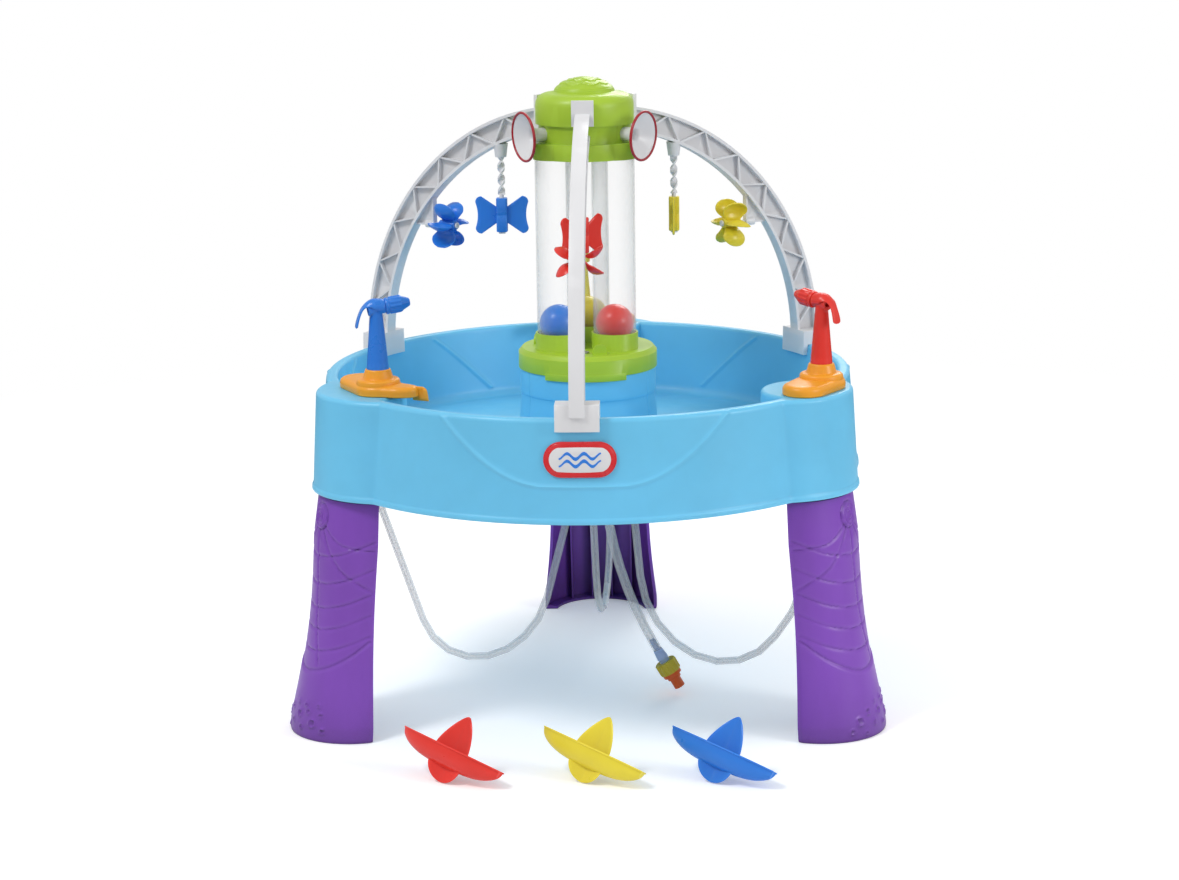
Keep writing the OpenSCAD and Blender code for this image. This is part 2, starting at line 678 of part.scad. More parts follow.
module blaster_stem(which, shade) color(shade) difference() {
    union() {
        blaster_place(which) {
            translate([0, 0, rim_z + 7 + seat_gap]) cylinder(h = stem_z - rim_z, r = spigot_r);
            translate([0, 0, stem_z]) cylinder(h = stem_h, r1 = stem_foot_r, r2 = stem_top_r);
            translate([0, 0, stem_z + stem_h - 1]) cylinder(h = 6, r = stem_top_r);
        }
        barrel_axis(which) {
            translate([0, 0, -11]) cylinder(h = 11 + nozzle_root, r = head_r);
            cylinder(h = nozzle_root + 12, r = nozzle_pin_r);
        }
    }
    blaster_head(which) {
        // Hollow for the trigger's hub, and the water's way up the stem
        translate([-4.7, -5.2, -5.2]) cube([30, 10.4, 11.6]);
        translate([0, 0, -62]) cylinder(h = 60, r = channel_r);
        translate(trigger_pivot) rotate([90, 0, 0])
            translate([0, 0, -12]) cylinder(h = 24, r = trigger_pin_r + run_gap);
    }
    barrel_axis(which) translate([0, 0, 3]) cylinder(h = nozzle_root + 12, r = 2.5);
}

module blaster_nozzle(which, shade) color(shade) barrel_axis(which) translate([0, 0, nozzle_root + seat_gap])
    difference() {
        union() {
            cylinder(h = 21, r = nozzle_r);
            translate([0, 0, 21]) cylinder(h = 11, r1 = nozzle_r, r2 = 4);
        }
        translate([0, 0, -1]) cylinder(h = 13.5, r = nozzle_pin_r + run_gap);
        cylinder(h = 40, r = 2);
    }

module blaster_trigger(which, shade) color(shade) blaster_head(which) {
    lever_r = 29.7;
    translate(trigger_pivot) rotate([90, 0, 0]) {
        translate([0, 0, -5]) cylinder(h = 10, r = 2.9);
        translate([0, 0, -8]) cylinder(h = 16, r = trigger_pin_r);
    }
    // Nose that presses on the hidden valve
    translate([3.4, -4.5, -2.9]) cube([4, 9, 1.8]);
    translate([5.2, -4.5, -2.9]) cube([3, 9, 5]);
    // Curved lever, with a wider finger pad at its lower end
    translate([-6, 0, -25.5]) rotate([90, 0, 0]) {
        rotate_extrude(angle = 62) translate([lever_r, -4.8]) square([2.6, 9.6]);
        rotate([0, 0, -5]) rotate_extrude(angle = 40) translate([lever_r - 0.3, -6.5]) square([3.2, 13]);
    }
}

// ---------------------------------------------------------------- hoses

module hose_loop(angle) color(CLEAR) at(angle) hose(loop_route, loop_bends, hose_r, hose_bore_r);
module hose_side(angle) color(CLEAR) at(angle) hose(side_route, side_bends, hose_r, hose_bore_r);
module feed_hose() color(CLEAR) translate([0, feed_plane, 0])
    hose(feed_route, feed_bends, feed_r, feed_bore_r);

// Four-way splitter under the pedestal, with one barb for each hose
module manifold() {
    block_z = port_z + 4;
    block_h = 16;
    // A barb at a route's first point, along its first run
    module barb(route, r) translate([route[0].x, 0, route[0].y])
        rotate([0, atan2(route[1].x - route[0].x, route[1].y - route[0].y), 0])
            translate([0, 0, -8]) cylinder(h = 22, r = r);
    module bar(reach) {
        translate([0, -7, block_z]) cube([reach, 14, block_h]);
        translate([reach, 0, block_z]) cylinder(h = block_h, r = 8.5);
    }
    color(WHITE) {
        translate([0, 0, block_z]) cylinder(h = block_h, r = 24);
        translate([0, 0, block_z + block_h - 1])
            cylinder(h = pedestal_top_z - basin_wall - block_z - block_h, r = 9);
        translate([0, 0, pedestal_top_z - basin_wall - 6 - seat_gap]) cylinder(h = 6, r = 20);
        at(RIGHT) bar(side_route[0].x);
        at(atan2(feed_plane, feed_route[0].x)) bar(norm([feed_plane, feed_route[0].x]));
        for (angle = [spigot_angles[0], spigot_angles[2]]) at(angle) barb(loop_route, hose_bore_r - barb_gap);
        at(spigot_angles[1]) barb(side_route, hose_bore_r - barb_gap);
        translate([0, feed_plane, 0]) barb(feed_route, feed_bore_r - barb_gap);
    }
}

// Points a child's +Z out of the feed hose's end
module tail_axis() translate([feed_end.x, feed_plane, feed_end.y]) rotate([0, 180 - feed_lean, 0]) children();

module hose_barb() color(BARB_BLUE) tail_axis() difference() {
    union() {
        translate([0, 0, -16]) cylinder(h = 17, r = feed_bore_r - barb_gap);
        translate([0, 0, seat_gap]) cylinder(h = 14, r1 = 6.5, r2 = 8);
        translate([0, 0, 13]) cylinder(h = 11, r = 7);
        translate([0, 0, 22.6]) cylinder(h = 2, r = 12.4);
    }
    translate([0, 0, -20]) cylinder(h = 60, r = 2.8);
}

module hose_nut() color(NUT_YELLOW) tail_axis() difference() {
    union() {
        translate([0, 0, 19]) cylinder(h = 17, r = 14);
        for (rib = [0:30:330]) at(rib) translate([13.6, 0, 20]) cylinder(h = 15, r = 1.6, $fn = 24);
    }
    translate([0, 0, 10]) cylinder(h = 30, r = 7 + run_gap);
    translate([0, 0, 22.5]) cylinder(h = 30, r = 12.5);
}

module hose_washer() color(BLACK) tail_axis() translate([0, 0, 24.65]) difference() {
    cylinder(h = 2.3, r = 12.3);
    translate([0, 0, -1]) cylinder(h = 5, r = 5);
}

module hose_connector() color(CONNECTOR_ORANGE) tail_axis() difference() {
    union() {
        translate([0, 0, 27]) cylinder(h = 12, r = 12.5 - run_gap);
        translate([0, 0, 36.2]) cylinder(h = 4.8, r = 13);
        translate([0, 0, 40]) cylinder(h = 6, r = 9.5);
        translate([0, 0, 45]) cylinder(h = 15, r = 7.5);
    }
    translate([0, 0, 20]) cylinder(h = 60, r = 4);
}

// ---------------------------------------------------------------- boats

// A solid canoe shape with its gunwale at the given depth above its keel
module canoe(length, beam, depth) {
    side_r = (length * length / 4 + beam * beam / 4) / beam;
    keel_r = (length * length / 4 + depth * depth) / (2 * depth);
    intersection() {
        translate([0, side_r - beam / 2, 0]) cylinder(h = depth, r = side_r, $fn = 180);
        translate([0, beam / 2 - side_r, 0]) cylinder(h = depth, r = side_r, $fn = 180);
        translate([0, beam, keel_r]) rotate([90, 0, 0]) cylinder(h = 2 * beam, r = keel_r, $fn = 240);
    }
}

module canoe_shell(length, beam, depth) difference() {
    canoe(length, beam, depth);
    translate([0, 0, boat_skin]) canoe(length - 4 * boat_skin, beam - 2 * boat_skin, depth);
}

// Upright leaf: a pointed sail above the gunwale and a round keel below it, cupped forward
module boat_leaf() {
    leaf_half_h = 43;
    leaf_half_w = 22;
    edge_r = (leaf_half_h * leaf_half_h + leaf_half_w * leaf_half_w) / (2 * leaf_half_w);
    cup_r = 40;
    intersection() {
        rotate([90, 0, 0]) translate([0, 0, -cup_r]) linear_extrude(2 * cup_r) {
            intersection() {
                translate([edge_r - leaf_half_w, 0]) circle(r = edge_r);
                translate([leaf_half_w - edge_r, 0]) circle(r = edge_r);
            }
            translate([0, -24]) circle(r = 20);
        }
        translate([0, 2 - cup_r, -60]) difference() {
            cylinder(h = 120, r = cup_r);
            translate([0, 0, -1]) cylinder(h = 122, r = cup_r - boat_skin);
        }
        translate([-50, -cup_r / 2, -60]) cube([100, cup_r, 120]);
    }
}

// A long hull heeled over, with the leaf standing across its middle
module boat(spot, shade) color(shade)
    translate([spot, -boat_row, boat_mid_z]) rotate(boat_tilt) {
        translate([0, 0, -boat_depth]) canoe_shell(boat_l, boat_beam, boat_depth);
        boat_leaf();
    }

// ---------------------------------------------------------------- nodes

basin();
drain_plug();
leg(LEFT);  // leg_left
leg(RIGHT);  // leg_right
leg(BACK);  // leg_back
leg_screws();
tower_collar();
tower_screws();
tube(LEFT);  // tube_left
tube(RIGHT);  // tube_right
tube(BACK);  // tube_back
ball(LEFT, BLUE);  // ball_blue
ball(RIGHT, RED);  // ball_red
ball(BACK, YELLOW);  // ball_yellow
tower_cap();
funnel(LEFT);  // funnel_left
funnel(RIGHT);  // funnel_right
funnel(BACK);  // funnel_back
funnel_rims();
arm(SIDE_FRONT);  // arm_front
arm(SIDE_LEFT);  // arm_left
arm(SIDE_RIGHT);  // arm_right
twist_rod(SIDE_FRONT);  // twist_rod_front
twist_rod(SIDE_LEFT);  // twist_rod_left
twist_rod(SIDE_RIGHT);  // twist_rod_right
paddle(SIDE_FRONT, 44, RED);  // paddle_red
paddle(SIDE_LEFT, 0, BLUE);  // paddle_blue
paddle(SIDE_RIGHT, 88, YELLOW);  // paddle_yellow
pinwheel(SIDE_FRONT, 0, RED);  // pinwheel_red
pinwheel(SIDE_LEFT, 30, BLUE);  // pinwheel_blue
pinwheel(SIDE_RIGHT, 30, YELLOW);  // pinwheel_yellow
pinwheel_axles();
blaster_base(0);  // blaster_base_left
blaster_base(1);  // blaster_base_right
blaster_base(2);  // blaster_base_back
blaster_stem(0, BLUE);  // blaster_stem_blue
blaster_stem(1, RED);  // blaster_stem_red
blaster_stem(2, YELLOW);  // blaster_stem_yellow
blaster_nozzle(0, BLUE);  // blaster_nozzle_blue
blaster_nozzle(1, RED);  // blaster_nozzle_red
blaster_nozzle(2, YELLOW);  // blaster_nozzle_yellow
blaster_trigger(0, BLUE);  // blaster_trigger_blue
blaster_trigger(1, RED);  // blaster_trigger_red
blaster_trigger(2, YELLOW);  // blaster_trigger_yellow
hose_loop(spigot_angles[0]);  // hose_left
hose_side(spigot_angles[1]);  // hose_right
hose_loop(spigot_angles[2]);  // hose_back
feed_hose();
manifold();
hose_barb();
hose_nut();
hose_washer();
hose_connector();
boat(boat_spots[0], RED);  // boat_red
boat(boat_spots[1], YELLOW);  // boat_yellow
boat(boat_spots[2], BLUE);  // boat_blue
badge();
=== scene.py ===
"""Looks of the sand and water table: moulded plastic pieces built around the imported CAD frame."""
import json
import math

import bmesh
import bpy
import numpy as np
from mathutils import Euler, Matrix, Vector


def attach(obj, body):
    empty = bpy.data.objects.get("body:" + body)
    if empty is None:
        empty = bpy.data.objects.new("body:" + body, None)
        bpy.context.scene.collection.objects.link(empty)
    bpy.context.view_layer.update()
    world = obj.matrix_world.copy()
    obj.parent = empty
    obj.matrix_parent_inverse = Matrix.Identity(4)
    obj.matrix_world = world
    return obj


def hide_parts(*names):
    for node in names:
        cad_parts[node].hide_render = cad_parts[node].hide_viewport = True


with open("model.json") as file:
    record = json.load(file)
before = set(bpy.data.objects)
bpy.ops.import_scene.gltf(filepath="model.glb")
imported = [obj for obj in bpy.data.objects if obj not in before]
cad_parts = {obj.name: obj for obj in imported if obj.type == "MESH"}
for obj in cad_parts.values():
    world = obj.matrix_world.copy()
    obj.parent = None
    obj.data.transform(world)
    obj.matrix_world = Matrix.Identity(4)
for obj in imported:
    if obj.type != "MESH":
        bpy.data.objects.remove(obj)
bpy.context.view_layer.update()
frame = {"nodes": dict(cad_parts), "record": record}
NODES = frame["nodes"]
BODY_OF = {node: body for body, nodes in frame["record"]["behaviour"]["bodies"].items() for node in nodes}
MM = 0.001

# Azimuths in degrees, seen from above with the front at 270
SIDES = {"front": 270.0, "left": 150.0, "right": 30.0}
CORNERS = {"left": 210.0, "right": 330.0, "back": 90.0}


# ---------------------------------------------------------------- materials

def srgb(hex_colour):
    """A linear colour with alpha from an sRGB hex string."""
    parts = [int(hex_colour[i:i + 2], 16) / 255 for i in (0, 2, 4)]
    return [c / 12.92 if c <= 0.04045 else ((c + 0.055) / 1.055) ** 2.4 for c in parts] + [1.0]


def shaded(colour, gain):
    """The colour made lighter or darker, and opaque."""
    return [min(1.0, c * gain) for c in colour[:3]] + [1.0]


class Nodes:
    """Short calls for a material's node tree."""

    def __init__(self, name):
        self.material = bpy.data.materials.new(name)
        self.material.use_nodes = True
        self.tree = self.material.node_tree
        self.surface = self.tree.nodes["Principled BSDF"]
        self.place = self.add("ShaderNodeTexCoord").outputs["Object"]

    def add(self, kind, **settings):
        node = self.tree.nodes.new(kind)
        for key, value in settings.items():
            if key in node.inputs:
                node.inputs[key].default_value = value
            else:
                setattr(node, key, value)
        return node

    def link(self, output, target):
        self.tree.links.new(output, target)

    def noise(self, scale, detail=3.0, rough=0.5, stretch=None):
        node = self.add("ShaderNodeTexNoise", Scale=scale, Detail=detail, Roughness=rough)
        place = self.place
        if stretch:
            mapping = self.add("ShaderNodeMapping")
            mapping.inputs["Scale"].default_value = stretch
            self.link(place, mapping.inputs["Vector"])
            place = mapping.outputs["Vector"]
        self.link(place, node.inputs["Vector"])
        return node.outputs["Fac"]

    def ramp(self, fac, stops):
        node = self.add("ShaderNodeValToRGB")
        elements = node.color_ramp.elements
        while len(elements) < len(stops):
            elements.new(0.5)
        for element, (at, colour) in zip(elements, stops):
            element.position = at
            element.color = colour
        self.link(fac, node.inputs["Fac"])
        return node.outputs["Color"]

    def mix(self, fac, a, b):
        node = self.add("ShaderNodeMix", data_type="RGBA")
        for value, socket in ((fac, node.inputs[0]), (a, node.inputs[6]), (b, node.inputs[7])):
            if isinstance(value, bpy.types.NodeSocket):
                self.link(value, socket)
            else:
                socket.default_value = value
        return node.outputs[2]

    def range(self, value, low, high, to_low, to_high):
        node = self.add("ShaderNodeMapRange")
        self.link(value, node.inputs["Value"])
        for key, number in (("From Min", low), ("From Max", high), ("To Min", to_low), ("To Max", to_high)):
            node.inputs[key].default_value = number
        return node.outputs["Result"]

    def bump(self, height, strength, distance, after=None):
        node = self.add("ShaderNodeBump", Strength=strength, Distance=distance)
        self.link(height, node.inputs["Height"])
        if after:
            self.link(after, node.inputs["Normal"])
        return node.outputs["Normal"]


def plastic(name, hex_colour, rough=0.34, grain=0.12, mottle=0.05, glow=0.12, flow=None, crease_shade_colour=None,
            shade=0.0):
    """Moulded plastic: faint flow marks, a matt grain, painted highlights on sharp edges, painted shade in
    creases and, when asked, painted shade in hollows.
    """
    n = Nodes(name)
    colour = srgb(hex_colour)
    cloud = n.noise(9.0, 4.0, 0.6, flow)
    tone = n.ramp(cloud, [(0.3, shaded(colour, 1 - 1.6 * mottle)), (0.7, shaded(colour, 1 + mottle))])
    geometry = n.add("ShaderNodeNewGeometry")
    # Painted highlight: convex edges, found by pointiness, are mixed towards a lighter copy of the colour
    edge = n.range(geometry.outputs["Pointiness"], 0.5, 0.58, 0.0, 0.35)
    light = [min(1.0, c * 1.18 + 0.03) for c in colour[:3]] + [1.0]
    tone = n.mix(edge, tone, light)
    # Painted shade: creases, found by pointiness, are mixed towards a darker colour
    painted_crease_shade = n.range(geometry.outputs["Pointiness"], 0.49, 0.42, 0.0, 0.45)
    tone = n.mix(painted_crease_shade, tone, srgb(crease_shade_colour) if crease_shade_colour else shaded(colour, 0.62))
    # Painted shade: where ambient occlusion finds hollows, the colour is darkened towards near black by the
    # given strength
    if shade:
        hollow = n.add("ShaderNodeAmbientOcclusion", Distance=0.16, samples=6).outputs["AO"]
        tone = n.mix(n.range(hollow, 0.25, 0.85, shade, 0.0), tone, shaded(colour, 0.12))
    n.link(tone, n.surface.inputs["Base Color"])
    smudge = n.noise(30.0, 5.0, 0.6)
    n.link(n.range(smudge, 0.3, 0.7, rough - 0.05, rough + 0.07), n.surface.inputs["Roughness"])
    soft = n.bump(n.noise(45.0, 2.0), 0.10, 0.0012)
    n.link(n.bump(n.noise(1500.0, 2.0), grain, 0.00012, soft), n.surface.inputs["Normal"])
    n.surface.inputs["Subsurface Weight"].default_value = glow
    n.surface.inputs["Subsurface Radius"].default_value = (0.006, 0.006, 0.006)
    n.surface.inputs["Subsurface Scale"].default_value = 0.6
    n.surface.inputs["IOR"].default_value = 1.47
    return n.material


def clear_plastic(name, tint, rough, body, ior=1.3):
    """Thin clear plastic: mostly see-through, with a milky body, streaks and a bright rim."""
    n = Nodes(name)
    tree = n.tree
    out = tree.nodes["Material Output"]
    clear = n.add("ShaderNodeBsdfTransparent")
    n.surface.inputs["Base Color"].default_value = srgb(tint)
    n.surface.inputs["IOR"].default_value = ior
    streak = n.noise(14.0, 3.0, 0.5, (1.0, 1.0, 0.12))
    n.link(n.range(streak, 0.3, 0.7, rough, rough + 0.08), n.surface.inputs["Roughness"])
    n.link(n.bump(streak, 0.08, 0.0006), n.surface.inputs["Normal"])
    facing = n.add("ShaderNodeLayerWeight", Blend=0.35)
    rim = n.range(facing.outputs["Facing"], 0.0, 1.0, body, min(1.0, body + 0.42))
    varied = n.add("ShaderNodeMath", operation="MULTIPLY")
    n.link(rim, varied.inputs[0])
    n.link(n.range(streak, 0.2, 0.8, 0.85, 1.1), varied.inputs[1])
    blend = n.add("ShaderNodeMixShader")
    n.link(varied.outputs[0], blend.inputs[0])
    n.link(clear.outputs[0], blend.inputs[1])
    n.link(n.surface.outputs[0], blend.inputs[2])
    n.link(blend.outputs[0], out.inputs["Surface"])
    return n.material


def metal(name, hex_colour):
    """Zinc-plated screw steel with fine turning marks."""
    n = Nodes(name)
    marks = n.noise(300.0, 2.0, 0.6, (1.0, 1.0, 6.0))
    tone = n.ramp(marks, [(0.3, shaded(srgb(hex_colour), 0.8)), (0.7, srgb(hex_colour))])
    n.link(tone, n.surface.inputs["Base Color"])
    n.surface.inputs["Metallic"].default_value = 1.0
    n.link(n.range(marks, 0.3, 0.7, 0.25, 0.45), n.surface.inputs["Roughness"])
    n.link(n.bump(marks, 0.15, 0.0002), n.surface.inputs["Normal"])
    return n.material


# The crease colours given here are painted shade for each plastic's creases
MATERIALS = {
    "sky_blue": plastic("sky_blue", "6fc8f0", 0.38, 0.2, 0.035, 0.15, crease_shade_colour="2f9ccb"),
    # Purple's last number sets how strongly its hollows get painted shade
    "purple": plastic("purple", "8048b8", 0.38, 0.22, 0.07, 0.05, (1.0, 1.0, 0.35), "36155f", 0.8),
    "lime_green": plastic("lime_green", "a9cb35", 0.36, 0.15, 0.05),
    "orange": plastic("orange", "f5a325", 0.36, 0.15, 0.05, crease_shade_colour="b8410c"),
    "blue": plastic("blue", "2b7fe0", 0.30),
    "red": plastic("red", "e8352a", 0.30),
    "yellow": plastic("yellow", "e9d63a", 0.32),
    "white": plastic("white", "e2e2e4", 0.34, 0.12, 0.02, crease_shade_colour="a9a9ae"),
    "badge_red": plastic("badge_red", "d8262c", 0.25),
    "ring_red": plastic("ring_red", "a8202e", 0.28),
    "nut_yellow": plastic("nut_yellow", "c9b52e", 0.34),
    "barb_blue": plastic("barb_blue", "a9bfe6", 0.25),
    "connector_orange": plastic("connector_orange", "e0601f", 0.30),
    "washer_black": plastic("washer_black", "1c1c1e", 0.7, 0.3),
    "screw_steel": metal("screw_steel", "b9bbc0"),
    "clear_tube": clear_plastic("clear_tube", "f4f6f4", 0.05, 0.03),
    "clear_hose": clear_plastic("clear_hose", "e4e7e8", 0.08, 0.2),
}


# ---------------------------------------------------------------- mesh tools

def finish_mesh(obj, angle=35.0):
    """Smooth shading that breaks at edges sharper than the angle."""
    mesh = obj.data
    mesh.polygons.foreach_set("use_smooth", [True] * len(mesh.polygons))
    mesh.set_sharp_from_angle(angle=math.radians(angle))
    mesh.update()


def face_outward(mesh):
    """Turns every face's normal to the outside."""
    shape = bmesh.new()
    shape.from_mesh(mesh)
    bmesh.ops.recalc_face_normals(shape, faces=shape.faces)
    shape.to_mesh(mesh)
    shape.free()


def add_piece(name, verts, faces, node, angle=35.0):
    """A mesh piece in millimetres that stands for a CAD node and rides on its body."""
    mesh = bpy.data.meshes.new(name)
    points = [tuple(v) for v in np.asarray(verts) * MM]
    mesh.from_pydata(points, [], [tuple(int(i) for i in face) for face in faces])
    mesh.validate()
    face_outward(mesh)
    obj = bpy.data.objects.new(name, mesh)
    bpy.context.collection.objects.link(obj)
    slot = SLOT_OF[node]
    mesh.materials.append(MATERIALS[slot])
    finish_mesh(obj, angle)
    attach(obj, BODY_OF[node])
    return obj


def strip_faces(rows, cols, closed=True, first=0):
    """Quads between rows of points; closed rows join their last point to their first."""
    across = cols if closed else cols - 1
    return [(first + r * cols + c, first + r * cols + (c + 1) % cols,
             first + (r + 1) * cols + (c + 1) % cols, first + (r + 1) * cols + c)
            for r in range(rows - 1) for c in range(across)]


def fan(ring, centre, flip=False):
    """Triangles that close a ring of point numbers with a centre point."""
    pairs = [(ring[i], ring[(i + 1) % len(ring)]) for i in range(len(ring))]
    return [(b, a, centre) if flip else (a, b, centre) for a, b in pairs]


def polar(azimuth, radius, z=0.0):
    """The point at an azimuth in degrees, a distance from the tower and a height."""
    a = math.radians(azimuth)
    return np.array([radius * math.cos(a), radius * math.sin(a), z])


def turned(points, azimuth):
    """Points whose +X is a direction out from the tower, turned to that azimuth."""
    a = math.radians(azimuth)
    c, s = math.cos(a), math.sin(a)
    p = np.asarray(points, float)
    return np.stack([p[..., 0] * c - p[..., 1] * s, p[..., 0] * s + p[..., 1] * c, p[..., 2]], -1)


def gauss(distance, width):
    """A smooth bump of height one."""
    return np.exp(-(distance / width) ** 2)


def smooth_step(t):
    """Zero below 0, one above 1, and a smooth rise between."""
    t = np.clip(t, 0.0, 1.0)
    return t * t * (3 - 2 * t)


def revolve(profile, count=96, wave=None):
    """Vertices and faces of a profile of (radius, height) turned about Z; wave bends radii and heights."""
    phi = np.arange(count) * 2 * math.pi / count
    rows = []
    for radius, height in profile:
        r = np.full(count, float(radius))
        z = np.full(count, float(height))
        if wave:
            r, z = wave(phi, r, z)
        rows.append(np.stack([r * np.cos(phi), r * np.sin(phi), z], -1))
    return np.concatenate(rows), strip_faces(len(rows), count)


def rounded(profile, radius, steps=4):
    """The profile with each inner corner rounded, as far as its neighbours leave room."""
    points = [np.array(p, float) for p in profile]
    out = [points[0]]
    for before, corner, after in zip(points, points[1:], points[2:]):
        a, b = before - corner, after - corner
        la, lb = np.linalg.norm(a), np.linalg.norm(b)
        cut = min(radius, 0.45 * la, 0.45 * lb)
        start, end = corner + a / la * cut, corner + b / lb * cut
        for i in range(steps + 1):
            t = i / steps
            out.append((1 - t) ** 2 * start + 2 * t * (1 - t) * corner + t * t * end)
    out.append(points[-1])
    return out


def merged(*shapes):
    """One (points, faces) shape from several."""
    points, faces, first = [], [], 0
    for shape_points, shape_faces in shapes:
        points.append(np.asarray(shape_points, float).reshape(-1, 3))
        faces += [tuple(first + i for i in face) for face in shape_faces]
        first += len(points[-1])
    return np.concatenate(points), faces


def slab(grid, thickness, rim=0.4):
    """Closed sheet around a grid of points, thinner along its border so that the edge looks rounded."""
    mid = np.asarray(grid, float)
    rows, cols = mid.shape[:2]
    normal = np.cross(np.gradient(mid, axis=0), np.gradient(mid, axis=1))
    normal /= np.maximum(np.linalg.norm(normal, axis=-1, keepdims=True), 1e-9)
    half = np.full((rows, cols, 1), thickness / 2)
    half[[0, -1]] *= rim
    half[:, [0, -1]] *= rim
    points = np.concatenate([(mid + normal * half).reshape(-1, 3), (mid - normal * half).reshape(-1, 3)])
    count = rows * cols
    faces = strip_faces(rows, cols, closed=False)
    faces += [tuple(count + i for i in reversed(face)) for face in faces]
    border = list(range(cols)) + [r * cols + cols - 1 for r in range(1, rows)]
    border += [(rows - 1) * cols + c for c in range(cols - 2, -1, -1)]
    border += [r * cols for r in range(rows - 2, 0, -1)]
    faces += [(a, count + a, count + b, b) for a, b in zip(border, border[1:] + border[:1])]
    return points, faces


def ring_solid(profile, count=48):
    """A closed loop of (radius, height) points turned about Z."""
    points, faces = revolve(profile, count)
    last = (len(profile) - 1) * count
    faces += [(last + i, last + (i + 1) % count, (i + 1) % count, i) for i in range(count)]
    return points, faces


# ---------------------------------------------------------------- carried-over CAD nodes

SLOT_OF = {part["node"]: part["material_slot"] for part in frame["record"]["subparts"]}
# Bevel widths in millimetres by the start of a node's name; nodes that are round already have none
SOFTENED = {"arm": 0.9, "funnel": 0.5, "paddle": 0.8, "drain": 0.8, "manifold": 1.0, "tower_collar": 1.2,
            "tower_cap": 0.8}
OTHER_SOFTENED = 0.35
SMOOTH_ALREADY = ("hose_left", "hose_right", "hose_back", "feed_hose", "tube", "twist_rod", "ball",
                  "blaster_stem")


def dress(node):
    """Gives a CAD node its material and soft moulded edges."""
    obj = NODES[node]
    obj.data.materials.clear()
    obj.data.materials.append(MATERIALS[SLOT_OF[node]])
    weld = obj.modifiers.new("weld", "WELD")
    weld.merge_threshold = 0.00002
    width = next((w for prefix, w in SOFTENED.items() if node.startswith(prefix)), OTHER_SOFTENED)
    if not node.startswith(SMOOTH_ALREADY):
        edge = obj.modifiers.new("edge", "BEVEL")
        edge.width = width * MM
        edge.segments = 2
        edge.limit_method = "ANGLE"
        edge.angle_limit = math.radians(40)
        edge.use_clamp_overlap = True
        edge.harden_normals = False


for node_name in NODES:
    dress(node_name)


# ---------------------------------------------------------------- basin

RIM_Z = 445.0
SKIRT_Z = 315.0
FLOOR_Z = 345.0
SIDE_REACH = 348.0
SIDE_SHIFT = 12.0
SKIRT_FLARE = 12.0
RIM_W = 15.0
COLUMN_CENTRE, COLUMN_R = 285.0, 100.0
SHELF_CENTRE, SHELF_R = 335.0, 62.0
SKIRT_WALL = 3.4
FLOOR_FILLET = 12.0
PEDESTAL_FOOT_R = 104.0
PEDESTAL_TOP_Z = 462.0
PEDESTAL_CEILING_Z = 458.8
BASIN_STEPS = 1260
PHI = np.arange(BASIN_STEPS) * 2 * math.pi / BASIN_STEPS


def side_radius(reach):
    """Polar radius of the three-sided plan, whose sides curve outward."""
    radii = []
    for azimuth in SIDES.values():
        delta = PHI - math.radians(azimuth)
        aside = SIDE_SHIFT * np.sin(delta)
        radii.append(-SIDE_SHIFT * np.cos(delta) + np.sqrt((reach + SIDE_SHIFT) ** 2 - aside ** 2))
    return -soft_max([-r for r in radii], 3.0)


def soft_max(values, width):
    """The largest value at each step, blended where two are close."""
    stack = np.array(values) / width
    top = stack.max(0)
    return width * (top + np.log(np.exp(stack - top).sum(0)))


def column_radius(centre, radius, near):
    """Polar radius of the corner columns, on their near or far side; zero or huge where a ray misses."""
    out = np.full(BASIN_STEPS, 900.0 if near else 0.0)
    for azimuth in CORNERS.values():
        delta = PHI - math.radians(azimuth)
        under = radius ** 2 - (centre * np.sin(delta)) ** 2
        hit = (under > 0) & (np.cos(delta) > 0)
        root = np.sqrt(np.where(hit, under, 0.0))
        value = centre * np.cos(delta) + (-root if near else root)
        out = np.where(hit, np.minimum(out, value) if near else np.maximum(out, value), out)
    return out


def outer_radius(z, inset):
    """Polar radius of the skirt's outer face at a height, less an inset."""
    fall = np.clip((RIM_Z - z) / (RIM_Z - SKIRT_Z), 0, 1)
    side = side_radius(SIDE_REACH + SKIRT_FLARE * fall - inset)
    lobe = column_radius(COLUMN_CENTRE, COLUMN_R + 8 * fall - inset, near=False)
    return soft_max([side, lobe], 1.1)


def inner_radius(z, outset):
    """Polar radius of the basin's inner wall at a height, plus an outset."""
    fall = np.clip((RIM_Z - z) / (RIM_Z - FLOOR_Z), 0, 1)
    side = side_radius(SIDE_REACH - RIM_W - 13 * fall + outset)
    shelf = column_radius(SHELF_CENTRE, SHELF_R + 4 * fall - outset, near=True)
    return -soft_max([-side, -shelf], 2.2)


def side_offset(radius):
    """Sideways distance from the middle of the nearest side, for each azimuth step."""
    best = None
    for azimuth in SIDES.values():
        delta = (PHI - math.radians(azimuth) + math.pi) % (2 * math.pi) - math.pi
        best = delta if best is None else np.where(np.abs(delta) < np.abs(best), delta, best)
    return np.sin(best) * radius


def skirt_swoosh(radius, z):
    """Smile-shaped step moulded into each curved side."""
    x = side_offset(radius) - 7.0
    curve = 362 + np.maximum(0, np.abs(x) - 45) ** 2 / 216
    slope = np.maximum(0, np.abs(x) - 45) / 108
    away = (z - curve) / np.sqrt(1 + slope ** 2)
    near = np.abs(x) < 200
    panel = 1.1 * smooth_step((2.2 - away) / 3.2) - 1.1
    line = 1.8 * gauss(away - 0.5, 2.4)
    fade = smooth_step((203 - np.abs(x)) / 10)
    return np.where(near, (panel * 0.6 + line) * fade, 0.0)


def wall_ridge(z):
    """Slanting raised lines on the inner walls, a pair on each side."""
    x = side_offset(325.0)
    fall = (RIM_Z - z) / (RIM_Z - FLOOR_Z)
    lift = np.zeros(BASIN_STEPS)
    for hand in (-1, 1):
        line = hand * (78 + 105 * fall ** 0.8)
        lift += 2.2 * gauss((x - line) * 0.75, 2.2)
    return lift


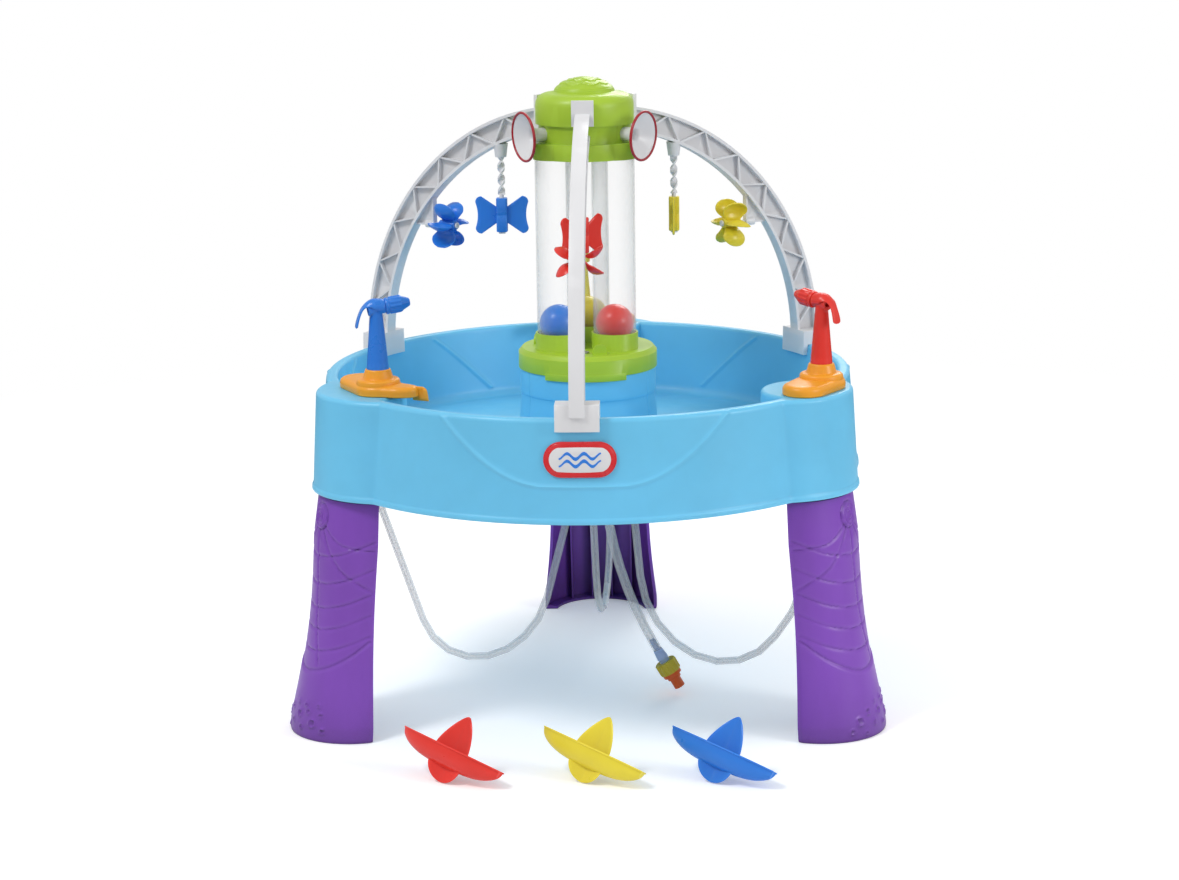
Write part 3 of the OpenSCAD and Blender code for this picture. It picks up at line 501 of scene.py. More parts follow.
def basin_rows():
    """Rings of points from the inside of the skirt, over the rim and the floor, to the underside."""
    rows = []

    def ring(radius, z):
        z = np.broadcast_to(np.asarray(z, float), (BASIN_STEPS,))
        rows.append(np.stack([radius * np.cos(PHI), radius * np.sin(PHI), z], -1))

    # Inside and bottom lip of the skirt
    for z in (437, 400, 360, 330, 317):
        ring(outer_radius(z, SKIRT_WALL), z)
    bead = ((3.0, 0.3), (1.5, 0), (-0.8, 0.3), (-1.6, 1.5), (-1.6, 5.5), (-1.0, 7.3), (0, 8.5))
    for inset, z in [(inset, SKIRT_Z + rise) for inset, rise in bead]:
        ring(outer_radius(z, inset), z)
    for z in np.arange(325.5, 439.1, 1.75):
        base = outer_radius(z, 0)
        ring(base + skirt_swoosh(base, z), z)
    for angle in range(0, 91, 10):
        a = math.radians(angle)
        fade = math.cos(a) ** 2
        z = 439.5 + 5.5 * math.sin(a)
        base = outer_radius(z, 5.5 * (1 - math.cos(a)))
        ring(base + skirt_swoosh(base, z) * fade, z)
    outer, inner = outer_radius(RIM_Z, 7.5), inner_radius(RIM_Z, 4.5)
    for t in (0.0, 0.2, 0.4, 0.6, 0.8, 1.0):
        ring(outer + (inner - outer) * t, RIM_Z)
    for angle in range(75, -1, -15):
        a = math.radians(angle)
        z = 441 + 4 * math.sin(a)
        ring(inner_radius(z, 4 * (1 - math.cos(a))), z)
    for z in np.arange(438.0, 358.0, -2.0):
        ring(inner_radius(z, 0) - wall_ridge(z), z)
    for angle in range(0, 91, 15):
        a = math.radians(angle)
        z = FLOOR_Z + FLOOR_FILLET * (1 - math.sin(a))
        ring(inner_radius(z, -FLOOR_FILLET * (1 - math.cos(a))), z)
    wall = inner_radius(FLOOR_Z, -14)
    for t in np.linspace(0.03, 1.0, 14):
        ring(wall + (PEDESTAL_FOOT_R - wall) * t, FLOOR_Z + 0.5 * math.sin(t * 9))
    # Pedestal: foot fillet, tapered body, band, step and neck
    foot = [(100, 345.6), (97.3, 347.4), (95.4, 350.5), (94.7, 354), (92.6, 378), (90.3, 404), (89.6, 411.5)]
    band = [(89.8, 412.4), (90.6, 413.2), (90.9, 414.2), (91, 418), (91, 440), (90.6, 445), (89.4, 446)]
    neck = [(88.2, 446.4), (87.8, 447), (87.7, 460)]
    neck += [(radius, PEDESTAL_TOP_Z) for radius in (86.5, 60, 12)]
    for radius, z in foot + band + neck:
        ring(np.full(BASIN_STEPS, float(radius)), z)
    return rows


def panel_grooves(points):
    """Upright seams and a horizontal one that split the pedestal into plates."""
    radius = np.hypot(points[:, 0], points[:, 1])
    azimuth = np.degrees(np.arctan2(points[:, 1], points[:, 0])) % 120
    on_wall = (radius < 96) & (points[:, 2] > 350) & (points[:, 2] < 446)
    seam = gauss((azimuth - 60 - 33) * 1.58, 0.9) + gauss((azimuth - 60 + 33) * 1.58, 0.9)
    cut = 1.0 * seam * on_wall
    scale = 1 - cut / np.maximum(radius, 1)
    points[:, 0] *= scale
    points[:, 1] *= scale
    return points


def build_basin():
    """The basin as one closed shell, with the pedestal and the hollow underneath."""
    rows = basin_rows()
    verts = panel_grooves(np.concatenate(rows))
    faces = [tuple(reversed(f)) for f in strip_faces(len(rows), BASIN_STEPS)]
    top = len(verts)
    count = len(rows)
    verts = np.concatenate([verts, [[0, 0, PEDESTAL_TOP_Z]]])
    faces += fan([(count - 1) * BASIN_STEPS + i for i in range(BASIN_STEPS)], top)
    # Underside: the hollow under the rim, the floor's underside and the pedestal's inside
    under = []
    levels = [(outer_radius(437, SKIRT_WALL), 437.0), (inner_radius(437, SKIRT_WALL) + 2, 437.0)]
    levels += [(inner_radius(390, SKIRT_WALL), 390.0), (inner_radius(FLOOR_Z, SKIRT_WALL), 343.5)]
    levels += [(inner_radius(FLOOR_Z, -2), 341.0)]
    levels += [(92.0, 341.0), (91.5, 345.0), (86.3, 413.0), (84.4, 440.0)]
    levels += [(radius, PEDESTAL_CEILING_Z) for radius in (84.4, 5.0)]
    for radius, z in levels:
        under.append(np.stack([radius * np.cos(PHI), radius * np.sin(PHI), np.full(BASIN_STEPS, z)], -1))
    first = len(verts)
    verts = np.concatenate([verts, np.concatenate(under)])
    faces += strip_faces(len(under), BASIN_STEPS, first=first)
    verts = np.concatenate([verts, [[0, 0, PEDESTAL_CEILING_Z]]])
    last = first + (len(under) - 1) * BASIN_STEPS
    faces += fan([last + i for i in range(BASIN_STEPS)], len(verts) - 1, flip=True)
    # The skirt's inner top edge meets the underside's first ring
    after = [(i + 1) % BASIN_STEPS for i in range(BASIN_STEPS)]
    faces += [(i, after[i], first + after[i], first + i) for i in range(BASIN_STEPS)]
    obj = add_piece("basin_shell", verts, faces, "basin", 40)
    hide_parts("basin")


build_basin()


# ---------------------------------------------------------------- legs

LEG_LEAN = math.radians(9.2)
LEG_FOOT = 438.0
LEG_ROUND_R = 85.0
LEG_TOP = 333.0
LEG_WALL = 4.0
LEG_RIBS = (-45, -15, 15, 45)


def leg_half_angle(z, radius, centre):
    """Half the angle that a leg's round face covers, up to its flat inner side."""
    chord = 365 - 23 * z / 315
    reach = (chord - centre) / (radius / math.cos(LEG_LEAN))
    return math.acos(max(-0.95, min(0.95, reach)))


def leg_round(z, inset=0.0):
    """Radius of a leg's round face, its centre's distance from the tower and half the angle it covers."""
    run = z / math.cos(LEG_LEAN)
    waist = 7 * math.sin(math.radians(180 * (run - 20) / 240)) if 20 < run < 260 else 0.0
    socket = 5.0 * smooth_step(np.array((z - 312) / 3.0)).item()
    radius = LEG_ROUND_R - waist - socket - inset
    centre = LEG_FOOT - LEG_ROUND_R / math.cos(LEG_LEAN) - z * math.tan(LEG_LEAN)
    return radius, centre, leg_half_angle(z, radius, centre)


def curve_points(control, steps=60):
    """Smooth curve through control points of (sideways, height)."""
    pts = np.array(control, float)
    out = []
    padded = np.vstack([2 * pts[0] - pts[1], pts, 2 * pts[-1] - pts[-2]])
    for i in range(1, len(padded) - 2):
        p0, p1, p2, p3 = padded[i - 1:i + 3]
        t = np.linspace(0, 1, steps, endpoint=False)[:, None]
        out.append(0.5 * (2 * p1 + (p2 - p0) * t + (2 * p0 - 5 * p1 + 4 * p2 - p3) * t ** 2
                          + (3 * p1 - p0 - 3 * p2 + p3) * t ** 3))
    return np.vstack(out + [pts[-1:]])


# Lines moulded into a leg's face, as (sideways, height) on the unrolled face
LEG_HUB = (0.0, 287.0)
LEG_RAYS = [[(0, 270), (2, 220), (8, 150), (22, 96)]]
LEG_RAYS += [[(hand * 12, 276), (hand * 45, 256), (hand * 92, 250)] for hand in (-1, 1)]
LEG_RAYS += [[(hand * 9, 272), (hand * 42, 226), (hand * 92, 196)] for hand in (-1, 1)]
LEG_ARCS = [[(-92, z + 26), (-45, z + 7), (0, z), (45, z + 7), (92, z + 26)]
            for z in (112, 140, 168, 200, 236)]
LEG_GROOVES = LEG_RAYS + LEG_ARCS
LEG_WAVE = [(-92, 130), (-60, 105), (-25, 88), (5, 85), (40, 94), (70, 111), (92, 130)]
LEG_CRATERS = [(-34, 24, 5.0), (-18, 34, 3.6), (-8, 18, 2.6), (6, 30, 4.4), (14, 14, 2.4), (24, 36, 3.2),
               (34, 22, 5.2), (46, 34, 2.6), (-48, 12, 3.0), (0, 44, 2.2), (52, 14, 3.4), (-26, 8, 2.2),
               (18, 44, 2.4), (40, 46, 2.0)]


def leg_relief(s, z):
    """Height of the moulded pattern on a leg's face."""
    height = np.zeros(s.shape)
    here = np.stack([s, z], -1)
    for control in LEG_GROOVES:
        away = np.full(s.shape, 99.0)
        for point in curve_points(control, 24):
            away = np.minimum(away, np.hypot(here[..., 0] - point[0], here[..., 1] - point[1]))
        height -= 1.8 * gauss(away, 1.5)
    # Below the wave the foot stands out as another shell, with a groove along its top
    wave = curve_points(LEG_WAVE, 24)
    wave_z = np.interp(s, wave[:, 0], wave[:, 1])
    height += 1.6 * smooth_step((wave_z - z) / 2.4) - 1.3 * gauss(z - wave_z - 1.2, 1.8)
    radius = np.hypot(s - LEG_HUB[0], z - LEG_HUB[1])
    turn = np.arctan2(z - LEG_HUB[1], s - LEG_HUB[0]) / (2 * math.pi)
    inside = smooth_step((16.5 - radius) / 2.0)
    coil = 0.8 * np.cos(2 * math.pi * (radius / 5.0 - turn)) * (radius < 14)
    height = height * (1 - inside) + inside * (1.7 + coil) - 1.2 * gauss(radius - 17.5, 1.3)
    for cs, cz, cr in LEG_CRATERS:
        away = np.hypot(s - cs, z - cz)
        height += 1.4 * gauss(away - cr, 1.2) - 1.0 * smooth_step((cr - away) / 1.5)
    return height


def leg_ribs(first):
    """Points and faces of the stiffening ribs inside a leg, each a thin upright plate."""
    points, faces = [], []
    for side in LEG_RIBS:
        start = first + 4 * len(points)
        levels = np.linspace(2, 330, 28)
        for z in levels:
            radius, centre, _ = leg_round(z, LEG_WALL)
            face = centre + math.sqrt(max(0, radius ** 2 - side ** 2)) / math.cos(LEG_LEAN) + 1.5
            depth = 13.5 + 3.0 * math.exp(-(330 - z) / 40)
            points.append([[face, side - 1.5, z], [face, side + 1.5, z],
                           [face - depth, side + 1.0, z], [face - depth, side - 1.0, z]])
        faces += strip_faces(len(levels), 4, first=start)
        faces.append(tuple(start + i for i in range(4)))
        faces.append(tuple(start + (len(levels) - 1) * 4 + i for i in (3, 2, 1, 0)))
    return np.array(points).reshape(-1, 3), faces


def build_leg(name, azimuth):
    """A leg's half-round shell with its moulded pattern outside and its ribs inside."""
    node = "leg_" + name
    cols = 96
    levels = np.concatenate([np.arange(0, 318, 1.9), [318, 322, 328, LEG_TOP]])
    outer, inner = [], []
    for z in levels:
        radius, centre, half = leg_round(z)
        angle = np.linspace(-half, half, cols)
        s = radius * angle
        lift = leg_relief(s, np.full(cols, z)) * (1 if z < 306 else 0)
        edge = np.minimum(1, (half - np.abs(angle)) * radius / 5)
        bulge = radius + lift * edge - 1.2 * np.exp(-z / 2.0)
        outer.append(np.stack([centre + bulge * np.cos(angle) / math.cos(LEG_LEAN), bulge * np.sin(angle),
                               np.full(cols, z)], -1))
        inset = 18.0 if z < 4 else LEG_WALL
        radius, centre, _ = leg_round(min(z, 329.0), inset)
        half = leg_half_angle(z, radius, centre)
        angle = np.linspace(half, -half, cols)
        inner.append(np.stack([centre + radius * np.cos(angle) / math.cos(LEG_LEAN), radius * np.sin(angle),
                               np.full(cols, min(z, 329.0))], -1))
    rows = [np.concatenate([o, i]) for o, i in zip(outer, inner)]
    verts = np.concatenate(rows)
    count = 2 * cols
    faces = strip_faces(len(rows), count)
    faces += [(c + 1, c, count - 1 - c, count - 2 - c) for c in range(cols - 1)]
    top = (len(rows) - 1) * count
    faces.append(tuple(top + c for c in range(cols)))
    faces.append(tuple(reversed([top + cols + c for c in range(cols)])))
    faces.append((top + cols - 1, top, top + count - 1, top + cols))
    rib_points, rib_faces = leg_ribs(len(verts))
    verts = np.concatenate([verts, rib_points])
    faces += rib_faces
    obj = add_piece("leg_shell_" + name, turned(verts, azimuth), faces, node, 45)
    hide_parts(node)


for leg_name, leg_azimuth in CORNERS.items():
    build_leg(leg_name, leg_azimuth)


# ---------------------------------------------------------------- boats

HULL_HALF_LENGTH, HULL_HALF_BEAM, HULL_DEPTH, HULL_WALL = 74.0, 20.6, 25.4, 2.0
SAIL_HALF_WIDTH = 24.5
BOAT_SPOTS = {"red": -156.0, "yellow": 18.0, "blue": 178.0}
BOAT_ROW_Y, BOAT_MID_Z = -393.0, 38.5
BOAT_TILT = Euler([math.radians(a) for a in (-30.6, 12.9, -31.6)]).to_matrix()


def hull_shape():
    """A long spoon of a hull with blunt ends, a thin wall and a small lip along the gunwale."""
    rows = []
    for t in np.sin(np.linspace(-1, 1, 49) * math.pi / 2):
        full = abs(t)
        beam = HULL_HALF_BEAM * (1 - 0.72 * full ** 2.8)
        depth = HULL_DEPTH * (1 - 0.60 * full ** 3.2)
        hollow = 1 - full ** 16
        angle = np.linspace(0.09, math.pi - 0.09, 25)
        lip = beam + 1.3
        x = HULL_HALF_LENGTH * t
        ring = [[x, -lip, 0], [x, -lip, -1.7]]
        rake = 2.5 * np.sign(t) * full ** 9
        ring += [[x - rake * math.sin(a), -beam * math.cos(a), -depth * math.sin(a)] for a in angle]
        ring += [[x, lip, -1.7], [x, lip, 0]]
        ring += [[x * 0.97, (beam - HULL_WALL) * math.cos(a), -(depth - HULL_WALL) * math.sin(a) * hollow]
                 for a in np.linspace(0, math.pi, 25)]
        rows.append(ring)
    count = len(rows[0])
    faces = strip_faces(len(rows), count)
    faces.append(tuple(range(count)))
    faces.append(tuple((len(rows) - 1) * count + i for i in reversed(range(count))))
    return np.array(rows).reshape(-1, 3), faces


def sail_shape():
    """The leaf across the hull: a creased sail with a round tip above, a wide scoop below."""
    rows = []
    heights = [np.linspace(-43.9, -38, 6), np.linspace(-36, 36, 25), np.linspace(37.5, 43.6, 7)]
    for v in np.concatenate(heights):
        if v < -19:
            half = SAIL_HALF_WIDTH * math.sqrt(max(0.001, 1 - ((v + 19) / 25) ** 2))
        elif v < 0:
            half = SAIL_HALF_WIDTH
        else:
            half = SAIL_HALF_WIDTH * max(0.001, 1 - (v / 44) ** 1.35) ** 0.72
        u = np.linspace(-1, 1, 19) * half
        cup = 2 - 0.15 * np.abs(u) - 0.0075 * u ** 2 - 0.0012 * max(0, v) ** 2
        rows.append(np.stack([u, cup, np.full(19, v)], -1))
    return slab(rows, 2.2)


def build_boat(shade):
    """A boat, heeled over on the floor in its place in the row."""
    points, faces = merged(hull_shape(), sail_shape())
    points = points @ np.array(BOAT_TILT).T + np.array([BOAT_SPOTS[shade], BOAT_ROW_Y, BOAT_MID_Z])
    obj = add_piece("boat_shape_" + shade, points, faces, "boat_" + shade, 40)
    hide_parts("boat_" + shade)


for boat_shade in BOAT_SPOTS:
    build_boat(boat_shade)


# ---------------------------------------------------------------- spinners

# By colour: the side it hangs on, its paddle's angle and its water wheel's angle in degrees
SPINNERS = {"red": ("front", 44.0, 0.0), "blue": ("left", 0.0, 30.0), "yellow": ("right", 88.0, 30.0)}
PINWHEEL_REACH, PINWHEEL_Z = 223.5, 621.0
PADDLE_REACH, PADDLE_Z, PADDLE_HALF_H = 134.5, 617.5, 23.0


def petal_shape(angle):
    """One cupped petal of a water wheel, in line with its axle (local Z)."""
    rows = []
    for r in np.concatenate([np.linspace(5, 30, 14), np.linspace(31, 34.4, 6)]):
        if r > 20.5:
            half = 13.8 * math.sqrt(max(0.004, 1 - ((r - 20.5) / 14) ** 2))
        else:
            half = 8 + 5.8 * float(smooth_step((r - 5) / 15.5))
        across = np.linspace(-1, 1, 15) * half
        away = np.hypot(r - 20.5, across) / 14
        axial = across * 1.28
        side = 2.2 - 7.5 * np.clip(1 - away ** 2, 0, 1) * float(smooth_step((r - 5) / 9)) + 0.12 * axial
        rows.append(np.stack([np.full(15, r), side, axial], -1))
    return turned(rows, angle)


def build_pinwheel(shade):
    """A water wheel with six cupped petals round its hub."""
    side, _, turn = SPINNERS[shade]
    # The hub stops short of the axle's head, which would otherwise lie in the same plane
    hub = ring_solid([(2.7, -12.8), (6, -12.8), (6.6, -12.0), (6.6, 12.2), (6, 13), (2.7, 13)])
    rim = ring_solid([(2.7, 13), (4.6, 12.8), (4.9, 13.8), (4.4, 14.4), (2.7, 14.4)])
    shapes = [hub, rim] + [slab(petal_shape(turn + blade), 1.9) for blade in range(0, 360, 60)]
    local, faces = merged(*shapes)
    place = np.stack([local[:, 2] + PINWHEEL_REACH, local[:, 1], PINWHEEL_Z - local[:, 0]], -1)
    obj = add_piece("pinwheel_petals_" + shade, turned(place, SIDES[side]), faces, "pinwheel_" + shade, 40)
    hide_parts("pinwheel_" + shade)


def wing_shape(hand):
    """One wing of a bow-tie paddle: straight flanks, round corners and a hollowed outer edge."""
    rows = []
    heights = [np.linspace(-25.4, -22, 5), np.linspace(-20, 20, 21), np.linspace(22, 25.4, 5)]
    for v in np.concatenate(heights):
        high = abs(v)
        inner = 5 + max(0, high - 9.5) * 1.42
        if high < 17.5:
            outer = 36 - 3.2 * (1 - (v / 17.5) ** 2)
        else:
            outer = 28 + math.sqrt(max(0.02, 64 - (high - 17.5) ** 2))
        x = np.linspace(min(inner, outer - 0.8), outer, 12)
        swell = 0.9 * np.sin((x - 5) / 31 * math.pi)
        rows.append(np.stack([hand * x, swell * hand, np.full(12, v + PADDLE_HALF_H)], -1))
    return slab(rows, 2.5)


def build_paddle(shade):
    """A bow-tie paddle: a squared hub with a bore for its rod, and two wings."""
    side, wing_angle, _ = SPINNERS[shade]
    around = np.linspace(0, 2 * math.pi, 40, endpoint=False)
    box = np.stack([np.sign(np.cos(around)) * np.abs(np.cos(around)) ** 0.35 * 7.5,
                    np.sign(np.sin(around)) * np.abs(np.sin(around)) ** 0.35 * 7.0], -1)
    bore = np.stack([np.cos(around), np.sin(around)], -1) * 3.08
    rings = [(box * 0.9, 0), (box, 0.9), (box, 22.2), (box * 0.96, 22.7), (box * 0.96, 23.3), (box, 23.8),
             (box, 45.1), (box * 0.9, 46), (bore, 46), (bore, 0)]
    points = np.concatenate([np.column_stack([ring, np.full(40, float(z))]) for ring, z in rings])
    faces = strip_faces(len(rings), 40)
    last = (len(rings) - 1) * 40
    faces += [(last + i, last + (i + 1) % 40, (i + 1) % 40, i) for i in range(40)]
    local, faces = merged((points, faces), wing_shape(1), wing_shape(-1))
    place = turned(local, wing_angle) + polar(SIDES[side], PADDLE_REACH, PADDLE_Z)
    obj = add_piece("paddle_wings_" + shade, place, faces, "paddle_" + shade, 40)
    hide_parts("paddle_" + shade)


for spinner_shade in SPINNERS:
    build_pinwheel(spinner_shade)
    build_paddle(spinner_shade)


# ---------------------------------------------------------------- blasters

# By colour: the corner it stands on, its distance from the tower and its place to the side
BLASTERS = {"blue": ("left", 316.0, 23.0), "red": ("right", 343.0, 17.0), "yellow": ("back", 327.0, 22.0)}
HEAD_Z = 555.5
HEAD_TURN = -14.0
BARREL_TILT = math.radians(82.0)


def head_to_world(local, shade):
    """From a blaster head's own axes, +X away from the nozzle, to the table's frame."""
    corner, reach, sideways = BLASTERS[shade]
    local = turned(local, HEAD_TURN) + np.array([reach, sideways, HEAD_Z])
    return turned(local, CORNERS[corner])


def along_barrel(local):
    """From an upright axis to the barrel's, inward and slightly up."""
    p = np.asarray(local, float)
    c, s = math.cos(BARREL_TILT), math.sin(BARREL_TILT)
    return np.stack([p[..., 0] * c - p[..., 2] * s, p[..., 1], p[..., 0] * s + p[..., 2] * c], -1)


def build_nozzle(shade):
    """The nozzle that twists on the head, with twelve grip flutes round its barrel."""
    collar = [(8.6, 0), (10.2, 0), (10.8, 0.8), (10.8, 3.2), (10.2, 4), (10.2, 5)]
    barrel = [(10.9, 5.8), (10.9, 18.5), (10.4, 20.5), (9.2, 22.2), (5.6, 30.2), (4.8, 31.6), (3.6, 32)]
    bore = [(2, 32), (2, 13), (5.15, 13), (5.15, 0)]
    points, faces = ring_solid(collar + barrel + bore, 72)
    radius = np.hypot(points[:, 0], points[:, 1])
    angle = np.arctan2(points[:, 1], points[:, 0])
    grip = (radius > 9) & (points[:, 2] > 5.5) & (points[:, 2] < 21)
    scale = np.where(grip, 1 + 0.5 * np.cos(12 * angle) / np.maximum(radius, 1), 1.0)
    points = points * np.stack([scale, scale, np.ones_like(scale)], -1) + np.array([0, 0, 12.05])
    obj = add_piece("nozzle_grip_" + shade, head_to_world(along_barrel(points), shade), faces,
                    "blaster_nozzle_" + shade, 40)
    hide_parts("blaster_nozzle_" + shade)


def build_hood(shade):
    """The hood over the head, running back and down into the curved lever."""
    path = curve_points([(-11.4, 9.6), (-5, 10.8), (3, 11.2), (10, 8.6), (16, 3), (20.4, -4.5), (23.4, -12),
                         (25.4, -19), (26.4, -25)], 5)
    heading = np.gradient(path, axis=0)
    heading /= np.linalg.norm(heading, axis=1, keepdims=True)
    up = np.stack([-heading[:, 1], heading[:, 0]], -1)
    run = np.linspace(0, 1, len(path))
    wrap = np.radians(96 - 72 * smooth_step((run - 0.3) / 0.3))
    half = 10.4 - 4.6 * smooth_step((run - 0.3) / 0.35) + 0.9 * gauss(run - 0.88, 0.14)
    half = half * np.sqrt(np.clip(1 - np.clip((run - 0.93) / 0.075, 0, 1) ** 2, 0.03, 1))
    rows = []
    for point, normal, w, wrapped in zip(path, up, half, wrap):
        turn = np.linspace(-1, 1, 17) * wrapped
        across = w * np.sin(turn) / math.sin(wrapped)
        drop = w * (1 - np.cos(turn))
        rows.append(np.stack([point[0] - normal[0] * drop, across, point[1] - normal[1] * drop], -1))
    points, faces = slab(rows, 2.2)
    node = "blaster_trigger_" + shade
    obj = add_piece("trigger_hood_" + shade, head_to_world(points, shade), faces, node, 40)
    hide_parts(node)


def pod_distance(x, y):
    """Signed distance to a base's outline: a long pod and the overflow lug, softly joined."""
    along = np.clip(-y / 50.0, 0, 1)
    pod = np.hypot(x - 2 * along, y + 50 * along) - (31 - 3 * along)
    lug = np.hypot(x + 14, y - 30) - 18
    outlet = np.hypot(x + 25, y - 40) - 12
    softness = 5.0
    return -softness * np.log(sum(np.exp(-shape / softness) for shape in (pod, lug, outlet)))


def pod_ring(inset, z, count=120):
    """Outline of the base, shrunk by an inset, seen from a point inside it."""
    angle = np.arange(count) * 2 * math.pi / count
    low, high = np.zeros(count), np.full(count, 110.0)
    for _ in range(24):
        mid = (low + high) / 2
        outside = pod_distance(mid * np.cos(angle), mid * np.sin(angle) - 12) > -inset
        high = np.where(outside, mid, high)
        low = np.where(outside, low, mid)
    return np.stack([low * np.cos(angle), low * np.sin(angle) - 12, np.full(count, float(z))], -1)


def build_base(corner, shade):
    """Rounded pod with a stepped cone for the stem and a spout that drops inside the rim."""
    _, reach, sideways = BLASTERS[shade]
    rings = [pod_ring(9, 0), pod_ring(1.2, 0), pod_ring(0, 1.2), pod_ring(0, 7)]
    for a in np.radians(range(15, 91, 15)):
        rings.append(pod_ring(6.5 * (1 - math.cos(a)), 7 + 6.5 * math.sin(a)))
    rings += [pod_ring(9, 13.7), pod_ring(16, 13.9)]
    pod = np.concatenate(rings)
    pod_faces = strip_faces(len(rings), 120)
    pod_faces += [tuple(range(120)), tuple(len(pod) - 120 + i for i in range(120))]
    neck = [(9.2, 6), (9.2, 31.8), (15.4, 31.9), (16.6, 30.6), (19.6, 19.6)]
    cone = rounded(neck + [(25.4, 19.4), (27.6, 17.6), (28.4, 13)], 1.6)
    cone_shape = ring_solid([tuple(p) for p in cone] + [(28.4, 6)], 72)
    path = curve_points([(-20, 36), (-29, 43), (-35, 47), (-37.5, 49)], 6)
    drop = 10.6 - 17 * smooth_step((np.arange(len(path)) / len(path) - 0.45) / 0.55) ** 2
    across = np.array([0.62, -0.78])
    spout = [[(x + across[0] * w, y + across[1] * w, z) for w in np.linspace(-11, 11, 9)]
             for (x, y), z in zip(path, drop)]
    points, faces = merged((pod, pod_faces), cone_shape, slab(spout, 5.0))
    place = turned(points + np.array([reach, sideways, RIM_Z + 0.05]), CORNERS[corner])
    obj = add_piece("base_pod_" + corner, place, faces, "blaster_base_" + corner, 45)
    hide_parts("blaster_base_" + corner)


for blaster_shade, (blaster_corner, _, _) in BLASTERS.items():
    build_base(blaster_corner, blaster_shade)
    build_nozzle(blaster_shade)
    build_hood(blaster_shade)


# ---------------------------------------------------------------- tower details and badge

def scales(phi, r, z):
    """Lifts the dome into overlapping rounded scales."""
    inside = r < 37.5
    row = r / 9.5 - 0.42 * np.abs(np.sin(3.5 * phi + 0.9 * np.floor(r / 9.5)))
    return r, z + np.where(inside, 1.3 * (row % 1.0) ** 2, 0.0)


def build_dome():
    """Domed top of the tower's cap with its overlapping scales."""
    profile = [(41, 809.5), (40.5, 812), (39.8, 814.5), (38.6, 817)]
    profile += [(r, 829.4 - 12.4 * (r / 38.2) ** 3.0) for r in np.linspace(38, 1.0, 38)]
    points, faces = revolve(profile, 240, scales)
    faces.append(tuple(range(240)))
    faces.append(tuple(len(points) - 240 + i for i in range(240)))
    add_piece("cap_dome", points, faces, "tower_cap", 30)


def build_funnel_rings():
    """The round red rims of the three funnels, as one piece."""
    shapes = []
    for azimuth in CORNERS.values():
        tilt = math.radians(3.0)
        around = np.arange(0, 2 * math.pi, math.pi / 6)
        points, faces = ring_solid([(31.6 + 1.7 * math.cos(a), 38.2 + 1.9 * math.sin(a)) for a in around], 72)
        out = points[:, 2] * math.cos(tilt) + points[:, 0] * math.sin(tilt)
        up = points[:, 0] * math.cos(tilt) - points[:, 2] * math.sin(tilt)
        shapes.append((turned(np.stack([52 + out, points[:, 1], 759.3 + up], -1), azimuth), faces))
    obj = add_piece("funnel_rings", *merged(*shapes), "funnel_rims", 50)
    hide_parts("funnel_rims")


BADGE_Z, BADGE_SHIFT = 396.0, 3.0
BADGE_GAP = 2.0


def on_badge(u, v, lift):
    """A point on the badge's curved face, from its own sideways and upward distances."""
    z = BADGE_Z + v
    skirt = SIDE_REACH + SKIRT_FLARE * (RIM_Z - z) / (RIM_Z - SKIRT_Z) + SIDE_SHIFT
    radius = skirt + BADGE_GAP + lift
    x = BADGE_SHIFT + u
    return np.stack([x, SIDE_SHIFT - np.sqrt(radius ** 2 - x ** 2), z], -1)


def stadium(half_l, end_r, count=96):
    """Outline of a badge: a straight length with round ends."""
    a = np.linspace(0, 2 * math.pi, count, endpoint=False)
    return np.stack([half_l * np.clip(np.cos(a) * 3, -1, 1) + end_r * np.cos(a), end_r * np.sin(a)], -1)


def raised_plate(half_l, end_r, low, high):
    """A closed plate that follows the badge's face between two heights above it."""
    loop = stadium(half_l, end_r)
    middle = (low + high) / 2
    rings = [(0.04, low), (0.5, low), (0.985, low), (1, middle), (0.97, high), (0.5, high), (0.04, high)]
    points = np.concatenate([on_badge(loop[:, 0] * k, loop[:, 1] * k, lift) for k, lift in rings])
    faces = strip_faces(len(rings), len(loop))
    faces += [tuple(range(len(loop))), tuple(len(points) - len(loop) + i for i in range(len(loop)))]
    return points, faces


def ripple(level, width):
    """A wave-shaped ribbon across the badge, thicker on its crests."""
    u = np.linspace(-26, 26, 61)
    mid = level + 3.4 * np.sin(u / 26 * 2.5 * math.pi)
    half = width * (0.35 + 0.65 * np.cos(u / 26 * math.pi / 2) ** 0.5)
    grid = [on_badge(u, mid + half * side, 0.95) for side in (-1, -0.4, 0.4, 1)]
    return slab(grid, 0.8)


def build_badge_face():
    """The badge's red border, white field and two plain waves in place of the lettering."""
    add_piece("badge_rim", *raised_plate(22.4, 20.4, -0.6, 0.7), "badge", 40)
    field = add_piece("badge_field", *raised_plate(22.4, 15.6, 0.3, 1.0), "badge", 40)
    waves = add_piece("badge_waves", *merged(ripple(4.6, 2.3), ripple(-4.6, 2.3)), "badge", 40)
    for obj, slot in ((field, "white"), (waves, "blue")):
        obj.data.materials.clear()
        obj.data.materials.append(MATERIALS[slot])


build_dome()
build_funnel_rings()
build_badge_face()


# ---------------------------------------------------------------- floor, light and camera

FLOOR_LIFT = 0.24
FLOOR_DROP = 0.0006
IMAGE_WIDTH = 1179
FOCAL_LENGTH = 2692.6


